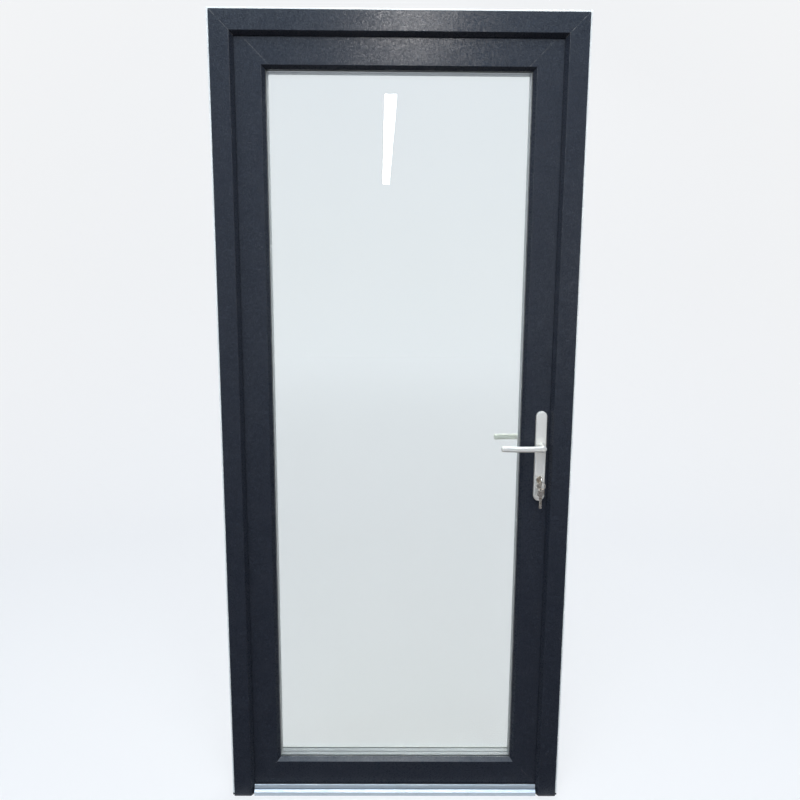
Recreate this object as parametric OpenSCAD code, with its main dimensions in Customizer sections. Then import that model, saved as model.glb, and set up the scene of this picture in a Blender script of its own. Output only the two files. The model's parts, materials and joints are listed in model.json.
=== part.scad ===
// Glazed entrance door in its frame: mitred hollow plastic profiles, triple glazing,
// an aluminium threshold, a key-driven lock with three bolts, and a lever on each side.
// +X runs to the right and -Y faces outdoors; z = 0 is the floor under the threshold.
// Profiles are drawn in (u, y): u is the distance in from the frame's outer edge.

/* [Overall size] */
// Width across the frame
frame_w = 950; // [850:1:1100]
// Height above the floor
frame_h = 2150; // [2000:1:2400]
// Depth of the frame profile
frame_d = 70; // [68:1:82]
// Height of the leaf's lower edge above the floor
leaf_z = 24; // [24:0.5:28]

/* [Frame profile] */
// Width of the flat outer face
face_w = 49.5; // [47:0.5:60]
// Width of the pale strip outside the face
strip_w = 5; // [3:0.5:7]
// Set-back of the pale strip behind the face
strip_d = 6; // [4:0.5:8]
// Width of the lip's sloping edge
lip_slope_w = 9; // [7:0.5:12]
// Thickness of the lip that covers the leaf
lip_d = 15; // [14:0.5:18]
// Overhang of the lip past the rebate floor
lip_cover = 20; // [18:0.5:22]
// Outer wall of the hollow profiles
wall = 3; // [2.5:0.1:3.3]
// Inner web of the hollow profiles
web = 2; // [1.5:0.1:2.3]
// Radius of the arrises that show
arris_r = 2; // [1:0.25:2.5]
// Width of the chamber that the thrown bolts reach into
bolt_room = 5.5; // [5.3:0.1:7]
// Depth of the frame's rear chamber
frame_back_room = 9; // [7:0.5:11]

/* [Leaf profile] */
// Gap between the rebate floor and the leaf's edge
rebate_gap = 12; // [11.5:0.1:13]
// Gap that the weather seals close
seal_gap = 3; // [2.6:0.1:4]
// Thickness of the inner flange that laps the frame
flange_t = 17; // [16:0.5:20]
// Lap of the inner flange over the frame
flange_cover = 8; // [7:0.5:9]
// Width of the leaf's flat outer face
leaf_face_w = 74; // [72:0.5:84]
// Width of the sloping edge beside the glass
glaze_slope_w = 8.5; // [7:0.5:10]
// Depth of the sloping edge beside the glass
glaze_slope_d = 11; // [9:0.5:12]
// Depth of the glazing lip
glaze_lip_d = 14; // [13:0.5:16]
// Cover of the glazing lip over the glass rebate
glaze_cover = 20; // [18:0.5:21]
// Depth of the leaf's rear chamber
leaf_back_room = 10; // [8:0.5:11]
// Distance from the leaf's outer face to the middle of the hardware groove
groove_set = 27.5; // [27:0.25:30]
// Depth of the bead's tongue in its groove
tongue_d = 1.8; // [1.2:0.1:2]

/* [Reinforcement] */
// Wall of the steel tubes
steel_t = 2; // [1.5:0.1:2.5]
// Gap between a tube and its chamber
steel_gap = 0.3; // [0.1:0.05:0.6]
// Distance that a tube stops short of its mitre
steel_stop = 30; // [15:1:60]

/* [Glazing] */
// Thickness of each pane
pane_t = 4; // [3:0.5:5]
// Width of each cavity between panes
cavity = 14; // [12:0.5:15]
// Gap between the glass edge and the rebate
glass_gap = 6.5; // [5:0.25:7]
// Height of the edge sealant
sealant_h = 7; // [5:0.25:7.5]
// Height of the spacer bars
spacer_h = 7.5; // [6:0.25:8]
// Thickness of the glazing gaskets
glaze_gasket_t = 3; // [2.5:0.25:4]
// Length of a glazing packer
packer_l = 100; // [60:5:120]
// Distance of a packer from the glass corner
packer_set = 70; // [40:5:120]

/* [Seals] */
// Width of the slots that hold the seals
slot_w = 3; // [2.5:0.1:3.5]
// Depth of the slots that hold the seals
slot_d = 3; // [2.5:0.1:3.2]
// Clearance between a seal and what it closes on
seal_clear = 0.3; // [0.2:0.05:0.6]
// Thickness of the bottom seal's fins
fin_t = 1.5; // [1:0.1:2]
// Overlap of a seal's stem and bulb
seal_root = 0.2; // [0.1:0.05:0.3]
// Reach of a seal's bulb past its slot
seal_lap = 1; // [0.8:0.1:1.2]
// Radius of the threshold seal's edges
sill_seal_r = 1.5; // [1:0.1:1.8]
// Set-back of a glazing gasket's foot from the rebate's edge
gasket_foot = 2; // [1.5:0.1:3]
// Stand-out of a glazing gasket's lip past the profile
gasket_lip = 0.6; // [0.4:0.1:0.8]

/* [Threshold] */
// Height of the outer nose
nose_h = 17; // [15:0.5:18]
// Height of the nose's upright edge
nose_edge_h = 11; // [9:0.5:13]
// Width of the sloping top of the nose
nose_slope_w = 5; // [3:0.25:5.5]
// Radius of the nose's edges
nose_r = 1; // [0.5:0.1:1]
// Width of the groove between the nose and the rib
nose_groove_w = 2; // [1.5:0.1:2.2]
// Height of the weather rib
rib_h = 30; // [29:0.5:33]
// Thickness of the weather rib
rib_t = 5; // [4.5:0.25:6]
// Distance of the rib from the leaf's outer face
rib_set = 4.5; // [4:0.25:5]
// Height of the drain floor
drain_h = 8; // [7:0.5:10]
// Width of the thermal break
break_w = 16; // [14:0.5:18]
// Height of the thermal break
break_h = 16; // [14:0.5:18]
// Height of the inner tread
tread_h = 20; // [18:0.25:20]
// Wall of the aluminium
sill_wall = 2; // [1.6:0.1:2.5]
// Number of grip grooves in the tread
grip_count = 5; // [3:1:6]
// Width of a grip groove
grip_w = 1.5; // [1:0.1:2]
// Height of the plastic foot under each jamb
foot_h = 6; // [4:0.5:8]

/* [Hinges] */
// Radius of the barrel
barrel_r = 9; // [8:0.25:10]
// Height of the whole hinge
hinge_h = 100; // [80:1:120]
// Radius of the pin
hinge_pin_r = 5; // [4:0.25:6]
// Thickness of the plate on the frame
hinge_plate_t = 5; // [4:0.25:6]
// Thickness of the plate on the leaf
hinge_wing_t = 4; // [3.5:0.25:5]
// Reach of the leaf plate past the barrel's axis
hinge_wing_w = 56; // [50:1:62]
// Gap between the barrel and its neighbours
hinge_clear = 2.5; // [2:0.1:4]
// Gap between the turning barrel and the frame plate
plate_clear = 0.5; // [0.4:0.1:1]
// Gap between the two halves of the barrel
barrel_gap = 0.4; // [0.3:0.05:0.8]
// Height of the lowest hinge above the floor
hinge_low_z = 230; // [180:1:300]
// Distance of the highest hinge below the frame's top
hinge_top_drop = 240; // [200:1:320]
// Distance of the frame plate from the frame's edge
hinge_edge = 2; // [1:0.25:3]
// Metal left beside the screws of the frame plate
hinge_screw_edge = 1.5; // [1:0.1:2]
// Gap between the leaf plate and the leaf's edge
wing_edge = 1; // [0.5:0.1:2]
// Metal left beside the screws of the leaf plate
wing_screw_edge = 4; // [3:0.25:5]
// Distance of the end screws from a hinge's middle, as a share of its height
hinge_screw_share = 0.35; // [0.3:0.01:0.4]

/* [Lock] */
// Distance from the leaf's edge to the lever's axis
backset = 30; // [28:0.5:32]
// Height of the lever's axis above the floor
handle_z = 1050; // [1000:1:1100]
// Distance from the lever's axis down to the cylinder's axis
cylinder_drop = 92; // [90:0.5:94]
// Thickness of the faceplate
faceplate_t = 3; // [2.5:0.1:3.2]
// Width of the faceplate
faceplate_w = 16; // [15:0.5:18]
// Height of the faceplate's lower end
faceplate_low_z = 150; // [100:1:200]
// Distance of the faceplate's upper end below the frame's top
faceplate_top_drop = 200; // [150:1:250]
// Depth of the groove that the drive rods run in
rod_room = 4; // [3.6:0.1:4.5]
// Width of the drive rods
rod_w = 10; // [9.5:0.1:11]
// Wall between the hardware groove and the steel
groove_wall = 2.5; // [2:0.1:3]
// Thickness of the lock case across the leaf
case_d = 15; // [14.5:0.1:16]
// Sheet thickness of the lock case
case_t = 1.5; // [1.2:0.1:1.6]
// Rise of the lock case above the lever's axis
case_rise = 60; // [56:1:70]
// Fall of the lock case below the cylinder's axis
case_fall = 33; // [30:1:36]
// Depth of the lock case behind the lever's axis
case_back = 23; // [22.5:0.25:26]
// Width of the bolts across the leaf
bolt_d = 11; // [10:0.25:11.4]
// Height of the latch bolt
latch_h = 24; // [20:1:26]
// Distance of the latch bolt's middle above the lever's axis
latch_rise = 30; // [29:0.5:33]
// Gap between the latch's tip and the rebate floor
latch_tip_gap = 0.5; // [0.3:0.1:1]
// Height of the deadbolt
deadbolt_h = 26; // [22:1:30]
// Distance of the deadbolt's middle above the cylinder's axis
deadbolt_rise = 38; // [36:0.5:42]
// Travel of the bolts
bolt_throw = 20; // [18:0.5:20.2]
// Radius of the round end bolts
end_bolt_r = 7; // [6:0.25:7.5]
// Height of an end bolt's case
end_case_h = 70; // [60:1:90]
// Height of the lower end bolt above the floor
low_bolt_z = 350; // [300:1:420]
// Distance of the upper end bolt below the frame's top
top_bolt_drop = 400; // [350:1:450]
// Thickness of the keepers
keeper_t = 8; // [6:0.25:8.5]
// Width of the keepers
keeper_w = 32; // [28:0.5:34]
// Clearance of a bolt in its keeper
keeper_clear = 1.5; // [1:0.1:2]
// Reach of the main keeper past its openings
keeper_end = 26; // [22:1:30]
// Height of an end bolt's keeper
end_keeper_h = 60; // [54:1:70]
// Distance of a keeper's screws from its ends
keeper_screw_set = 10; // [8:0.5:11]
// Length of the bolts
end_bolt_l = 36; // [34:0.5:38]
// Set-back of the bolts' noses behind the faceplate's front
bolt_set = 0.2; // [0.1:0.05:0.3]
// Length of a bolt's tapered nose
bolt_nose = 2; // [1.5:0.1:3]
// Distance of the faceplate's end screws from its ends
faceplate_screw_set = 15; // [12:0.5:18]
// Distance of a faceplate screw from the end of a case that it holds
case_screw_near = 25; // [20:1:30]
// Distance of the other faceplate screws from the ends of the cases
case_screw_far = 45; // [40:1:50]
// Radius of the follower
follower_r = 12; // [11.5:0.1:12.5]
// Reach of the follower's arm
arm_reach = 7; // [6.5:0.1:7.5]
// Width of the follower's arm
arm_w = 6; // [5:0.25:6.5]
// Radius of the follower's bearings
trunnion_r = 9; // [8.5:0.1:9.5]
// Width of the hook on the latch's tail
hook_w = 4; // [3:0.25:4.5]
// Length of the latch's head behind the faceplate
latch_head_l = 8; // [7:0.25:9]
// Width of the latch's blunt tip
latch_tip_w = 3; // [2:0.25:4]
// Gap beside the drive rods
rod_side_gap = 1; // [0.8:0.1:1.2]
// Gap at the ends of the drive rods
rod_end_gap = 2; // [1:0.25:3]

/* [Cylinder and keys] */
// Radius of the profile cylinder's round part
cylinder_r = 8.5; // [8:0.1:8.7]
// Height of the profile cylinder
cylinder_h = 33; // [32:0.25:34]
// Width of the profile cylinder's flange
cylinder_flange_w = 10; // [9:0.25:10.5]
// Stand-out of the cylinder from the plates
cylinder_proud = 3; // [1:0.25:5]
// Radius of the plug
plug_r = 6.5; // [6:0.1:6.8]
// Reach of the cam
cam_r = 15; // [14:0.25:15.5]
// Width of the cam
cam_w = 10; // [8:0.25:10.5]
// Radius of a key's bow
bow_r = 12; // [10:0.25:13]
// Thickness of a key
key_t = 2.4; // [2:0.1:2.8]
// Width of a key's blade
blade_w = 8.4; // [7:0.2:9]
// Length of a key's blade past its bow
blade_l = 33; // [28:1:35]
// Radius of the hole in the key's bow
bow_hole_r = 3.2; // [3:0.1:3.6]
// Stand-off of the inserted key's bow from the cylinder
bow_stand = 3; // [2:0.25:5]
// Number of cuts in a key's blade
cut_count = 5; // [4:1:6]
// Distance of the first cut from the bow
cut_start = 7; // [6:0.25:8]
// Depth of the shallowest cut
cut_d = 1.2; // [1:0.1:1.4]
// Width of a cut at the blade's edge
cut_top_w = 4.4; // [4:0.1:4.6]
// Width of a cut at its floor
cut_flat_w = 1.6; // [1.4:0.1:1.8]
// Radius of the key ring, to the middle of its wire
ring_r = 11; // [10:0.25:12]
// Thickness of the ring's wire across its plane
ring_w = 3; // [2.4:0.1:3.2]
// Thickness of the ring's wire in its plane
ring_t = 1.5; // [1.2:0.1:1.7]
// Turn of the spare key on the ring
spare_turn = 57; // [45:1:60]
// Height of the slot in the spare key's bow
spare_slot_h = 5; // [4.5:0.1:6]
// Width of the slot in the spare key's bow
spare_slot_w = 10; // [10:0.1:11]
// Metal left above that slot
spare_rim = 3; // [2.5:0.1:3.5]
// Clearance of the key blade and the spindle in their sockets
socket_gap = 0.1; // [0.05:0.01:0.2]

/* [Handles] */
// Height of the plates
plate_h = 250; // [244:1:270]
// Width of the plates
plate_w = 30; // [28:0.5:34]
// Thickness of the plates
plate_t = 9; // [8:0.25:11]
// Rise of a plate above the lever's axis
plate_rise = 96; // [93:1:105]
// Radius of a plate's front edge
plate_edge_r = 3; // [1.5:0.25:4]
// Distance of a plate's screws from its ends
plate_screw_set = 16; // [14:0.5:17]
// Radius of a lever's hub
hub_r = 9; // [8.5:0.1:10]
// Length of a lever from its axis to its tip
lever_l = 112; // [100:1:130]
// Height of a lever's grip
grip_h = 16; // [14:0.5:16.5]
// Thickness of a lever's grip
grip_t = 10; // [8:0.25:12]
// Distance of the grip's middle from the plate
grip_stand = 32; // [28:0.5:40]
// Radius of the grip's bow
grip_bow_r = 260; // [200:5:400]
// Width of the square spindle
spindle_w = 8; // [7:0.1:8.4]
// Radius of the hub's front edge
hub_edge_r = 3; // [2:0.25:4]
// Room round the hub inside the leaf
hub_room = 2; // [1:0.25:3]
// Radius of the plate screws' heads
plate_head_r = 4.5; // [4:0.1:5]
// Distance of both plate screws below a place that is even between the ends
plate_screw_drop = 2; // [0:0.25:3]

/* [Fasteners and fits] */
// Radius of the frame fixing holes
fixing_r = 5; // [3:0.25:6]
// Height of the lowest fixing hole
fixing_low_z = 200; // [150:1:240]
// Distance of the highest fixing hole below the frame's top
fixing_top_drop = 150; // [120:1:200]
// Radius of the screws' shanks
screw_r = 2; // [1.5:0.1:2.2]
// Radius of the screws' heads
screw_head_r = 4; // [3.5:0.1:4.5]
// Length of the screws
screw_l = 25; // [24:0.5:30]
// Radius of the machine screws in the handle and cylinder
bolt_screw_r = 2.5; // [2:0.1:2.6]
// Radial clearance of a running fit
run_gap = 0.05; // [0.02:0.01:0.1]
// Clearance between pieces that move past each other
slide_gap = 0.3; // [0.2:0.05:0.4]
// Clearance of a fixed piece in its cut-out
fit_gap = 0.3; // [0.1:0.05:0.5]

/* [Hidden] */
$fn = 64;

anthracite = [0.24, 0.26, 0.30];
white = [0.93, 0.93, 0.91];
galvanised = [0.66, 0.68, 0.70];
aluminium = [0.78, 0.79, 0.80];
satin = [0.66, 0.66, 0.64];
nickel = [0.62, 0.58, 0.50];
black = [0.07, 0.07, 0.08];
bare_glass = [0.80, 0.88, 0.87, 0.35];

// Points on each rounded arris, and how far cutting solids run past a face
arc_steps = 4;
past = 1;
half_w = frame_w / 2;

// Frame profile
frame_y0 = -frame_d / 2;
frame_y1 = frame_d / 2;
face_u = strip_w + face_w;
lip_u = face_u + lip_slope_w;
lip_y = frame_y0 + lip_d;
lip_run = lip_slope_w / lip_d;
lip_inset = wall * sqrt(1 + lip_run * lip_run);
rebate_u = lip_u - lip_cover;
bolt_room_u1 = rebate_u - wall;
bolt_room_u0 = bolt_room_u1 - bolt_room;
frame_steel_u1 = bolt_room_u0 - web;
frame_steel_y0 = lip_y - wall + web;
frame_steel_y1 = frame_y1 - wall - frame_back_room - web;
lip_slot_u = lip_u - lip_slope_w / 2 - slot_w + seal_lap / 2;
lip_room_d = lip_d - slot_d - web;

// Leaf profile
leaf_u = rebate_u + rebate_gap;
leaf_y0 = lip_y + seal_gap;
flange_y = frame_y1 + seal_gap;
leaf_y1 = flange_y + flange_t;
flange_u = rebate_u - flange_cover;
arris_u = leaf_u + leaf_face_w;
day_u = arris_u + glaze_slope_w;
glaze_u = day_u - glaze_cover;
glaze_y = leaf_y0 + glaze_lip_d;
glaze_run = glaze_slope_w / glaze_slope_d;
glaze_inset = wall * sqrt(1 + glaze_run * glaze_run);
groove_y = leaf_y0 + groove_set;
rod_u0 = leaf_u + faceplate_t;
groove_u = rod_u0 + rod_room;
rod_groove_w = rod_w + 2 * rod_side_gap;
leaf_steel_u0 = groove_u + groove_wall;
leaf_steel_u1 = glaze_u - wall;
leaf_steel_y0 = glaze_y + wall;
leaf_steel_y1 = leaf_y1 - wall - leaf_back_room - web;
leaf_mid_u = (leaf_u + wall + leaf_steel_u1) / 2;
flange_slot_u = (flange_u + rebate_u) / 2 - slot_w / 2;

// Glazing
glass_u = glaze_u + glass_gap;
spacer_u = glass_u + sealant_h;
sight_u = spacer_u + spacer_h;
glass_y0 = glaze_y + glaze_gasket_t;
mid_pane_y = glass_y0 + pane_t + cavity;
in_pane_y = mid_pane_y + pane_t + cavity;
glass_y1 = in_pane_y + pane_t;
bead_y = glass_y1 + glaze_gasket_t;
tongue_y = (bead_y + leaf_y1) / 2;
tongue_w = 3;

// Threshold
rib_y1 = leaf_y0 - rib_set;
rib_y0 = rib_y1 - rib_t;
nose_y1 = rib_y0 - nose_groove_w;
sill_slot_z = rib_h - sill_wall - slot_w;
sill_slot_d = rib_t / 2;
break_y1 = break_w / 2;
break_y0 = -break_w / 2;

// Hinges
hinge_u = flange_u - hinge_clear - barrel_r;
hinge_y = frame_y1 + hinge_plate_t + plate_clear + barrel_r;
hinge_top_z = frame_h - hinge_top_drop;
hinge_zs = [hinge_low_z, (hinge_low_z + hinge_top_z) / 2, hinge_top_z];
hinge_screw_zs = hinge_h * hinge_screw_share * [-1, 0, 1];
hinge_screw_u = hinge_edge + screw_head_r + hinge_screw_edge;
hinge_plate_u1 = hinge_u + barrel_r;
wing_u0 = flange_u + wing_edge;
wing_u1 = hinge_u + hinge_wing_w;
wing_screw_u = wing_u1 - screw_head_r - wing_screw_edge;

// Lock
lock_u = leaf_u + backset;
cylinder_z = handle_z - cylinder_drop;
case_y0 = groove_y - case_d / 2;
case_u1 = lock_u + case_back;
case_z0 = cylinder_z - case_fall;
case_z1 = handle_z + case_rise;
bolt_y0 = groove_y - bolt_d / 2;
bolt_y1 = groove_y + bolt_d / 2;
latch_z = handle_z + latch_rise;
deadbolt_z = cylinder_z + deadbolt_rise;
latch_u0 = rebate_u + latch_tip_gap;
latch_head_u = rod_u0 + latch_head_l;
bolt_u0 = leaf_u + bolt_set;
top_bolt_z = frame_h - top_bolt_drop;
end_bolt_zs = [low_bolt_z, top_bolt_z];
end_case_u1 = bolt_u0 + end_bolt_l + 2 * bolt_nose;
faceplate_top_z = frame_h - faceplate_top_drop;
arm_h = follower_r + arm_reach;
tail_clear = 1;
tail_z = handle_z + arm_h + 3 * tail_clear;
hook_u = lock_u + arm_w / 2 + tail_clear;
keeper_u1 = rebate_u + keeper_t;
keeper_z0 = deadbolt_z - deadbolt_h / 2 - keeper_end;
keeper_z1 = latch_z + latch_h / 2 + keeper_end;
end_screw_near = end_case_h / 2 + case_screw_near;
end_screw_far = end_case_h / 2 + case_screw_far;
faceplate_screw_zs = [faceplate_low_z + faceplate_screw_set, low_bolt_z - end_screw_near,
    low_bolt_z + end_screw_far, case_z0 - case_screw_far, case_z1 + case_screw_far,
    top_bolt_z - end_screw_far, top_bolt_z + end_screw_near, faceplate_top_z - faceplate_screw_set];
main_keeper_screw_zs = [keeper_z0 + keeper_screw_set, keeper_z1 - keeper_screw_set];
end_keeper_screw_set = end_keeper_h / 2 - keeper_screw_set;
fixing_top_z = frame_h - fixing_top_drop;
fixing_zs = [for (k = [0:3]) fixing_low_z + k * (fixing_top_z - fixing_low_z) / 3];

// Cylinder, keys and handles
blind_end = 1;
cam_room = 0.5;
out_plate_y = leaf_y0 - plate_t;
in_plate_y = leaf_y1 + plate_t;
cylinder_y0 = out_plate_y - cylinder_proud;
cylinder_y1 = in_plate_y + cylinder_proud - blind_end;
cam_slot_w = cam_w + 2 * cam_room;
bridge_z = cylinder_z - cam_r - cam_room;
cylinder_base_z = cylinder_z + cylinder_r - cylinder_h;
cylinder_screw_z = (bridge_z + cylinder_base_z) / 2;
socket_w = spindle_w + 2 * socket_gap;
plate_z1 = handle_z + plate_rise;
plate_z0 = plate_z1 - plate_h;
plate_screw_zs = [plate_z0 + plate_screw_set - plate_screw_drop,
    plate_z1 - plate_screw_set - plate_screw_drop];
key_y = cylinder_y0 - bow_stand - bow_r;
key_hole_y = key_y - bow_r / 2;
cut_pitch = (blade_l - cut_start - cut_flat_w) / cut_count;
// The flat ring rests in the round hole on its two lower edges
ring_seat = sqrt(bow_hole_r * bow_hole_r - ring_w * ring_w / 4) - slide_gap;
ring_z = cylinder_z - ring_seat + ring_t / 2 - ring_r;
// Length of ring inside the turned spare key, and how far the ring rises over it
ring_in_r = ring_r - ring_t / 2;
spare_run = (key_t / 2 + ring_w / 2 * sin(spare_turn)) / cos(spare_turn);
spare_lift = ring_in_r - sqrt(ring_in_r * ring_in_r - spare_run * spare_run) + run_gap;
spare_slot_z = ring_z - ring_in_r + spare_lift - spare_slot_h / 2;
spare_bow_z = spare_slot_z + spare_slot_h / 2 + spare_rim - bow_r;

// Box between two opposite corners, and its flat form
module block(a, b) translate(a) cube(b - a);
module patch(a, b) translate(a) square(b - a);

// Corner b of a polygon, rounded to radius r between its neighbours a and c
function unit(v) = v / norm(v);
function corner(a, b, c, r) =
    let (p = unit(a - b), q = unit(c - b), open = acos(p * q) / 2)
    let (mid = b + unit(p + q) * r / sin(open), from = b + p * r / tan(open) - mid)
    let (turn = sign(cross(b - a, c - b)) * (180 - 2 * open), start = atan2(from.y, from.x))
    [for (k = [0:arc_steps])
        let (way = start + turn * k / arc_steps) mid + r * [cos(way), sin(way)]];
function flat(p) = [p.x, p.y];
// Outline through [x, y, radius] points
function rounded(pts) =
    let (n = len(pts))
    [for (i = [0:n - 1]) each pts[i].z > 0
        ? corner(flat(pts[(i + n - 1) % n]), flat(pts[i]), flat(pts[(i + 1) % n]), pts[i].z)
        : [flat(pts[i])]];

// Local (u, y, z) frames at the two sides of the opening
module hinge_side() translate([-half_w, 0, 0]) children();
module lock_side() translate([half_w, 0, 0]) mirror([1, 0, 0]) children();
// Cylinder along +u from u0 to u1, and along +y from y0 to y1
module bar_u(u0, u1, r) translate([u0, 0, 0]) rotate([0, 90, 0]) cylinder(h = u1 - u0, r = r);
module bar_y(y0, y1, r) translate([0, y0, 0]) rotate([-90, 0, 0]) cylinder(h = y1 - y0, r = r);

// Countersunk screw along -z with its head's face at z = 0, and the hole it sits in
module screw(length, shank_r, head_r, gap = 0) {
    head_h = head_r - shank_r;
    translate([0, 0, -head_h])
        cylinder(h = head_h, r1 = shank_r + gap, r2 = head_r + gap);
    translate([0, 0, -length])
        cylinder(h = length - head_h, r = shank_r + gap);
}

// Prism through the door whose outline is drawn in x and z
module slab(pts) rotate([90, 0, 0]) linear_extrude(frame_w, center = true) polygon(pts);
mitre_reach = day_u + 12;

// A profile run along one side of the frame, mitred at the top corners
module frame_run(side) {
    if (side == "lock") {
        mirror([1, 0, 0]) frame_run("hinge") children();
    } else {
        intersection() {
            if (side == "hinge") {
                hinge_side() linear_extrude(frame_h) children();
            } else {
                translate([-half_w, 0, frame_h]) rotate([0, 90, 0]) linear_extrude(frame_w) children();
            }
            slab(side == "hinge"
                ? [[-half_w, foot_h], [-half_w + mitre_reach, foot_h],
                   [-half_w + mitre_reach, frame_h - mitre_reach], [-half_w, frame_h]]
                : [[-half_w, frame_h], [-half_w + mitre_reach, frame_h - mitre_reach],
                   [half_w - mitre_reach, frame_h - mitre_reach], [half_w, frame_h]]);
        }
    }
}

// A profile run along one side of the leaf, mitred at both ends
low_reach_z = leaf_z + mitre_reach - leaf_u;
module leaf_run(side) {
    if (side == "lock") {
        mirror([1, 0, 0]) leaf_run("hinge") children();
    } else {
        intersection() {
            if (side == "hinge") {
                hinge_side() linear_extrude(frame_h) children();
            } else if (side == "top") {
                translate([-half_w, 0, frame_h]) rotate([0, 90, 0]) linear_extrude(frame_w) children();
            } else {
                translate([-half_w, 0, leaf_z - leaf_u]) mirror([0, 0, 1]) rotate([0, 90, 0])
                    linear_extrude(frame_w) children();
            }
            slab(side == "hinge"
                ? [[-half_w, leaf_z], [-half_w + leaf_u, leaf_z], [-half_w + mitre_reach, low_reach_z],
                   [-half_w + mitre_reach, frame_h - mitre_reach], [-half_w, frame_h]]
                : side == "top"
                ? [[-half_w, frame_h], [-half_w + mitre_reach, frame_h - mitre_reach],
                   [half_w - mitre_reach, frame_h - mitre_reach], [half_w, frame_h]]
                : [[-half_w + leaf_u, leaf_z], [half_w - leaf_u, leaf_z],
                   [half_w - mitre_reach, low_reach_z], [-half_w + mitre_reach, low_reach_z]]);
        }
    }
}
module leaf_ring() for (side = ["hinge", "lock", "top", "bottom"]) leaf_run(side) children();
// Box that keeps distance u from the frame's edge all round the leaf
module leaf_box(u, y0, y1)
    block([-half_w + u, y0, leaf_z + u - leaf_u], [half_w - u, y1, frame_h - u]);

// Frame profile with its chambers and seal slot
module frame_outline() polygon(rounded([
    [strip_w, frame_y0, arris_r], [face_u, frame_y0, arris_r], [lip_u, lip_y, arris_r / 2],
    [rebate_u, lip_y, 0], [rebate_u, frame_y1, arris_r / 2], [0, frame_y1, 0],
    [0, frame_y0 + strip_d, arris_r / 2], [strip_w, frame_y0 + strip_d, 0]]));
module frame_profile() difference() {
    frame_outline();
    patch([strip_w + wall, frame_y0 + wall], [frame_steel_u1, lip_y - wall]);
    polygon([[bolt_room_u0, frame_y0 + wall], [face_u + lip_run * wall - lip_inset, frame_y0 + wall],
        [face_u + lip_run * lip_room_d - lip_inset, frame_y0 + lip_room_d],
        [bolt_room_u0, frame_y0 + lip_room_d]]);
    patch([wall, frame_steel_y0], [frame_steel_u1, frame_steel_y1]);
    patch([bolt_room_u0, frame_steel_y0], [bolt_room_u1, frame_steel_y1]);
    patch([wall, frame_steel_y1 + web], [frame_steel_u1, frame_y1 - wall]);
    patch([bolt_room_u0, frame_steel_y1 + web], [bolt_room_u1, frame_y1 - wall]);
    patch([lip_slot_u, lip_y - slot_d], [lip_slot_u + slot_w, lip_y + past]);
}

// Leaf profile with its chambers, hardware groove, seal slot and bead groove
module leaf_profile() difference() {
    polygon(rounded([
        [leaf_u, leaf_y0, arris_r / 2], [arris_u, leaf_y0, arris_r],
        [day_u, leaf_y0 + glaze_slope_d, arris_r / 2], [day_u, glaze_y, 0], [glaze_u, glaze_y, 0],
        [glaze_u, leaf_y1, 0], [flange_u, leaf_y1, arris_r], [flange_u, flange_y, arris_r / 2],
        [leaf_u, flange_y, 0]]));
    patch([leaf_u + wall, leaf_y0 + wall], [leaf_mid_u - web / 2, leaf_steel_y0 - web]);
    patch([leaf_mid_u + web / 2, leaf_y0 + wall], [leaf_steel_u1, leaf_steel_y0 - web]);
    polygon([[glaze_u, leaf_y0 + wall], [arris_u + glaze_run * wall - glaze_inset, leaf_y0 + wall],
        [day_u - glaze_inset - (glaze_slope_d - glaze_lip_d + wall) * glaze_run, glaze_y - wall],
        [glaze_u, glaze_y - wall]]);
    patch([leaf_steel_u0, leaf_steel_y0], [leaf_steel_u1, leaf_steel_y1]);
    patch([leaf_u + wall, groove_y + faceplate_w / 2 + wall], [leaf_steel_u0 - web, leaf_steel_y1]);
    patch([leaf_u + wall, leaf_steel_y1 + web], [leaf_mid_u - web / 2, leaf_y1 - wall]);
    patch([leaf_mid_u + web / 2, leaf_steel_y1 + web], [leaf_steel_u1, leaf_y1 - wall]);
    patch([flange_u + wall, flange_y + slot_d + web], [leaf_u - web, leaf_y1 - wall]);
    patch([flange_slot_u, flange_y - past], [flange_slot_u + slot_w, flange_y + slot_d]);
    patch([leaf_u - past, groove_y - faceplate_w / 2], [rod_u0, groove_y + faceplate_w / 2]);
    patch([leaf_u, groove_y - rod_groove_w / 2], [groove_u, groove_y + rod_groove_w / 2]);
    patch([glaze_u - tongue_d, tongue_y - tongue_w / 2], [glaze_u + past, tongue_y + tongue_w / 2]);
}

// Glazing bead with its tongue and sloping inner edge
module bead_profile() polygon(rounded([
    [glaze_u, bead_y, 0], [day_u, bead_y, arris_r / 2], [day_u, bead_y + (leaf_y1 - bead_y) / 2, arris_r / 2],
    [day_u - glaze_slope_w, leaf_y1, arris_r], [glaze_u, leaf_y1, 0],
    [glaze_u, tongue_y + tongue_w / 2, 0], [glaze_u - tongue_d, tongue_y + tongue_w / 2, 0],
    [glaze_u - tongue_d, tongue_y - tongue_w / 2, 0], [glaze_u, tongue_y - tongue_w / 2, 0]]));

// Weather seal: a stem in its slot and a round bulb that stands out by reach
module seal_profile(reach) {
    patch([0, -slot_d], [slot_w, seal_root]);
    polygon(rounded([[-seal_lap, 0, 0], [slot_w + seal_lap, 0, 0],
        [slot_w + seal_lap, reach, reach / 2], [-seal_lap, reach, reach / 2]]));
}

// Steel tube of a given outer size, drawn in (u, y)
module tube_profile(a, b) difference() {
    patch(a, b);
    patch(a + [steel_t, steel_t], b - [steel_t, steel_t]);
}
module frame_tube() tube_profile([wall + steel_gap, frame_steel_y0 + steel_gap],
    [frame_steel_u1 - steel_gap, frame_steel_y1 - steel_gap]);
module leaf_tube() tube_profile([leaf_steel_u0 + steel_gap, leaf_steel_y0 + steel_gap],
    [leaf_steel_u1 - steel_gap, leaf_steel_y1 - steel_gap]);

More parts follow.
